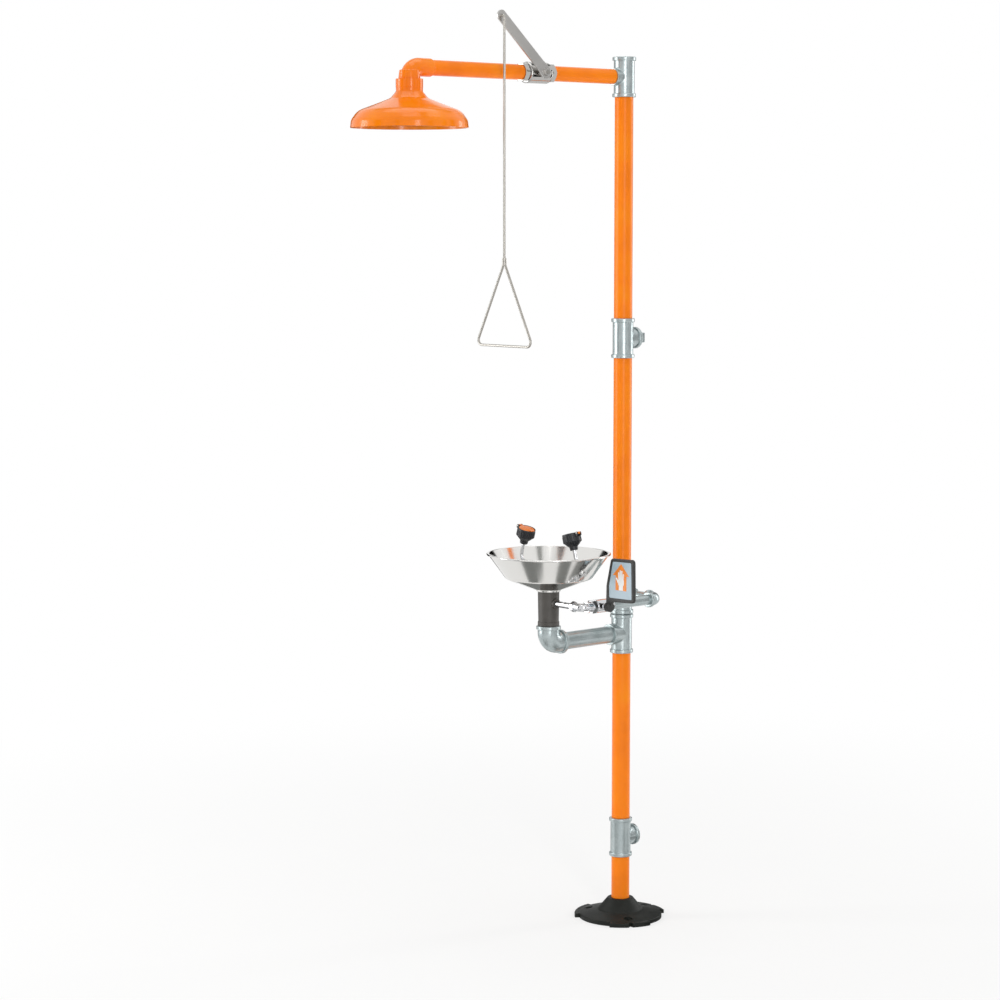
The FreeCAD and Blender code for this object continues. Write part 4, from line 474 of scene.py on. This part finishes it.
# grip ribs round the spray heads, none where the cap's hinge stands
sprayRibs = {"count": 24, "radius": 23.3, "width": 1.9, "stand": 0.9, "low": 20.5, "high": 37,
             "edge": 0.6, "tilt": 17, "footOut": 97.55, "footUp": 1022, "free": 26}
for side, sign in (("left", -1), ("right", 1)):
    out, up = millimetres(sprayRibs["footOut"], sprayRibs["footUp"])
    foot = Matrix.Translation((sign * out, bowlCentre.y, up))
    lean = Matrix.Rotation(math.radians(-sign * sprayRibs["tilt"]), 4, "Y")
    bpy.ops.mesh.primitive_cube_add(
        size=1, location=millimetres(sprayRibs["radius"], 0,
                                     (sprayRibs["low"] + sprayRibs["high"]) / 2))
    rib = bpy.context.object
    rib.scale = millimetres(sprayRibs["stand"] * 2, sprayRibs["width"],
                            sprayRibs["high"] - sprayRibs["low"])
    bpy.ops.object.transform_apply(location=True, rotation=True, scale=True)
    startEdit()
    bpy.ops.mesh.bevel(offset=sprayRibs["edge"] / 1000, segments=2, affect="EDGES")
    closeEdit()
    ribs = []
    outward = 0 if sign > 0 else 180
    for index in range(sprayRibs["count"]):
        angle = 360 / sprayRibs["count"] * index
        if abs((angle - outward + 180) % 360 - 180) < sprayRibs["free"]:
            continue
        twin = rib.copy()
        twin.data = rib.data.copy()
        bpy.context.collection.objects.link(twin)
        twin.data.transform(foot @ lean @ Matrix.Rotation(math.radians(angle), 4, "Z"))
        ribs.append(twin)
    bpy.data.objects.remove(rib)
    joinPieces(side + "_spray_ribs", ribs, "blackPlastic", "station")
print("ribs on the spray heads")


# camera: a long lens from the front right, tipped down a little
camera = {"place": (5.083, -4.857, 1.860), "bearing": 48.94, "tilt": 5.97, "lens": 96.0,
          "filmWidth": 36, "farthest": 60}
bpy.ops.object.camera_add(location=camera["place"],
                          rotation=(math.radians(90 - camera["tilt"]), 0,
                                    math.radians(camera["bearing"])))
eye = bpy.context.object
eye.data.lens = camera["lens"]
eye.data.sensor_width = camera["filmWidth"]
eye.data.clip_end = camera["farthest"]
bpy.context.scene.camera = eye

# studio: pale floor that turns to plain white away from the object, white surroundings
studio = {"floorSize": 60, "floorColours": ("#FAFAF9", "#FDFDFC"), "ambient": 0.58,
          "glowNear": 0.6, "whiteFrom": 0.5, "whiteTo": 3.2, "blackCard": "#060606",
          "greyCard": "#868886", "floorCardHeight": 0.004}


def seenDirectly(tree):
    # 1 for what the camera, a mirror or a glass shows, 0 for light that falls on things
    rays = addNode(tree, "ShaderNodeLightPath")
    seen = addNode(tree, "ShaderNodeMath", {"operation": "MAXIMUM"},
                   {0: rays.outputs["Is Camera Ray"], 1: rays.outputs["Is Glossy Ray"]})
    seen = addNode(tree, "ShaderNodeMath", {"operation": "MAXIMUM"},
                   {0: seen.outputs["Value"], 1: rays.outputs["Is Transmission Ray"]})
    return seen.outputs["Value"]


bpy.ops.mesh.primitive_plane_add(size=studio["floorSize"], location=(0, 0, 0))
floor = bpy.context.object
floor.name = "studio_floor"
floorMaterial, floorTree, floorShader = startMaterial(
    "painted studio floor", {"Roughness": 0.8, "Specular IOR Level": 0.0})
floorPlace = patternPlace(floorTree)
floorNoise = addNode(floorTree, "ShaderNodeTexNoise", {"Scale": 3.0}, {"Vector": floorPlace})
floorTree.links.new(colourBetween(floorTree, floorNoise.outputs["Fac"], studio["floorColours"]),
                    floorShader.inputs["Base Color"])
away = addNode(floorTree, "ShaderNodeVectorMath", {"operation": "LENGTH"}, {0: floorPlace})
fade = addNode(floorTree, "ShaderNodeMapRange",
               {"interpolation_type": "SMOOTHSTEP", "From Min": studio["whiteFrom"],
                "From Max": studio["whiteTo"], "To Min": studio["glowNear"], "To Max": 1.0},
               {"Value": away.outputs["Value"]})
share = addNode(floorTree, "ShaderNodeMath", {"operation": "MULTIPLY"},
                {0: fade.outputs["Result"], 1: seenDirectly(floorTree)})
glow = addNode(floorTree, "ShaderNodeEmission", {"Color": (1, 1, 1, 1), "Strength": 1.0})
floorMix = addNode(floorTree, "ShaderNodeMixShader", links={"Fac": share.outputs["Value"]})
floorTree.links.new(floorShader.outputs["BSDF"], floorMix.inputs[1])
floorTree.links.new(glow.outputs["Emission"], floorMix.inputs[2])
floorTree.links.new(floorMix.outputs["Shader"],
                    floorTree.nodes["Material Output"].inputs["Surface"])
floor.data.materials.append(floorMaterial)

world = bpy.data.worlds.new("studio")
bpy.context.scene.world = world
world.use_nodes = True
skyTree = world.node_tree
skyTree.nodes.clear()
dim = addNode(skyTree, "ShaderNodeBackground", {"Color": (1, 1, 1, 1),
                                                "Strength": studio["ambient"]})
bright = addNode(skyTree, "ShaderNodeBackground", {"Color": (1, 1, 1, 1), "Strength": 1.0})
mix = addNode(skyTree, "ShaderNodeMixShader", links={"Fac": seenDirectly(skyTree)})
skyTree.links.new(dim.outputs["Background"], mix.inputs[1])
skyTree.links.new(bright.outputs["Background"], mix.inputs[2])
addNode(skyTree, "ShaderNodeOutputWorld", links={"Surface": mix.outputs["Shader"]})

middle = Vector((0, -0.3, 1.15))  # of the object, roughly


def studioSpot(offset, distance, height):
    # a place round the object; offset is its bearing from the camera's side, in degrees
    bearing = math.radians(camera["bearing"] - 90 + offset)
    return (middle.x + distance * math.cos(bearing), middle.y + distance * math.sin(bearing),
            height)


# tall boxes beside the camera and on both sides, and one overhead; bearing, distance, height,
# width, length and watts
softBoxes = {
    "front strip": (13, 4.4, 1.7, 0.55, 3.2, 46),
    "left box": (-92, 3.8, 1.6, 1.1, 3.0, 52),
    "right box": (118, 4.0, 1.6, 0.7, 3.0, 30),
    "overhead box": (0, 0.0, 5.2, 3.0, 3.0, 42),
}
for name, (offset, distance, height, width, length, watts) in softBoxes.items():
    place = studioSpot(offset, distance, height)
    bpy.ops.object.light_add(type="AREA", location=place)
    lamp = bpy.context.object
    lamp.name = name
    lamp.data.shape = "RECTANGLE"
    lamp.data.size, lamp.data.size_y = width, length
    lamp.data.energy = watts
    lamp.rotation_euler = (middle - Vector(place)).to_track_quat("-Z", "Y").to_euler()

# cards that only reflections show, so that chrome and steel get bands. black ones stand round
# the object: bearing, distance, height, width, length
standingCards = {
    "card_left": (-60, 3.0, 1.4, 0.7, 3.4),
    "card_near_left": (-24, 3.2, 1.4, 0.22, 3.4),
    "card_near_right": (36, 3.2, 1.4, 0.4, 3.4),
    "card_right": (66, 3.0, 1.4, 0.3, 3.4),
    "card_far_right": (89, 3.0, 1.6, 0.55, 3.8),
    "card_back_left": (-158, 3.2, 1.4, 1.5, 3.4),
    "card_back_right": (158, 3.2, 1.4, 1.3, 3.4),
}
# grey ones hang overhead: bearing, distance, height, width, length
ceilingCards = {
    "ceiling_card_front": (30, 1.3, 4.3, 0.5, 1.5),
    "ceiling_card_back": (180, 1.4, 4.3, 3.2, 1.0),
}
# grey ones lie on the floor round the bowl: bearing, distance, width, length
floorCards = {
    "floor_card_left": (-70, 0.75, 0.34, 0.9),
    "floor_card_near_left": (-33, 0.8, 0.16, 1.0),
    "floor_card_right": (62, 0.8, 0.26, 1.0),
    "floor_card_far_right": (100, 0.75, 0.3, 0.9),
    "floor_card_back": (180, 1.7, 0.7, 1.8),
}


def makeCardboard(name, hexText):
    return startMaterial(name, {"Base Color": linearColour(hexText), "Roughness": 0.9,
                                "Specular IOR Level": 0.0})[0]


blackCard = makeCardboard("black card", studio["blackCard"])
greyCard = makeCardboard("grey card", studio["greyCard"])


def addCard(name, place, turn, width, length, material):
    bpy.ops.mesh.primitive_plane_add(size=1, location=place, rotation=turn)
    card = bpy.context.object
    card.name = name
    card.scale = (width, length, 1)
    card.data.materials.append(material)
    card.visible_camera = False
    card.visible_shadow = False
    card.visible_diffuse = False


facingCamera = math.radians(camera["bearing"])
for name, (offset, distance, height, width, length) in standingCards.items():
    place = studioSpot(offset, distance, height)
    turn = (middle - Vector(place)).to_track_quat("Z", "Y").to_euler()
    addCard(name, place, turn, width, length, blackCard)
for name, (offset, distance, height, width, length) in ceilingCards.items():
    addCard(name, studioSpot(offset, distance, height),
            (0, 0, facingCamera + math.radians(offset)), width, length, greyCard)
for name, (offset, distance, width, length) in floorCards.items():
    addCard(name, studioSpot(offset, distance, studio["floorCardHeight"]),
            (0, 0, facingCamera + math.radians(offset)), width, length, greyCard)
print("studio ready")

bpy.context.scene.view_settings.view_transform = "Standard"
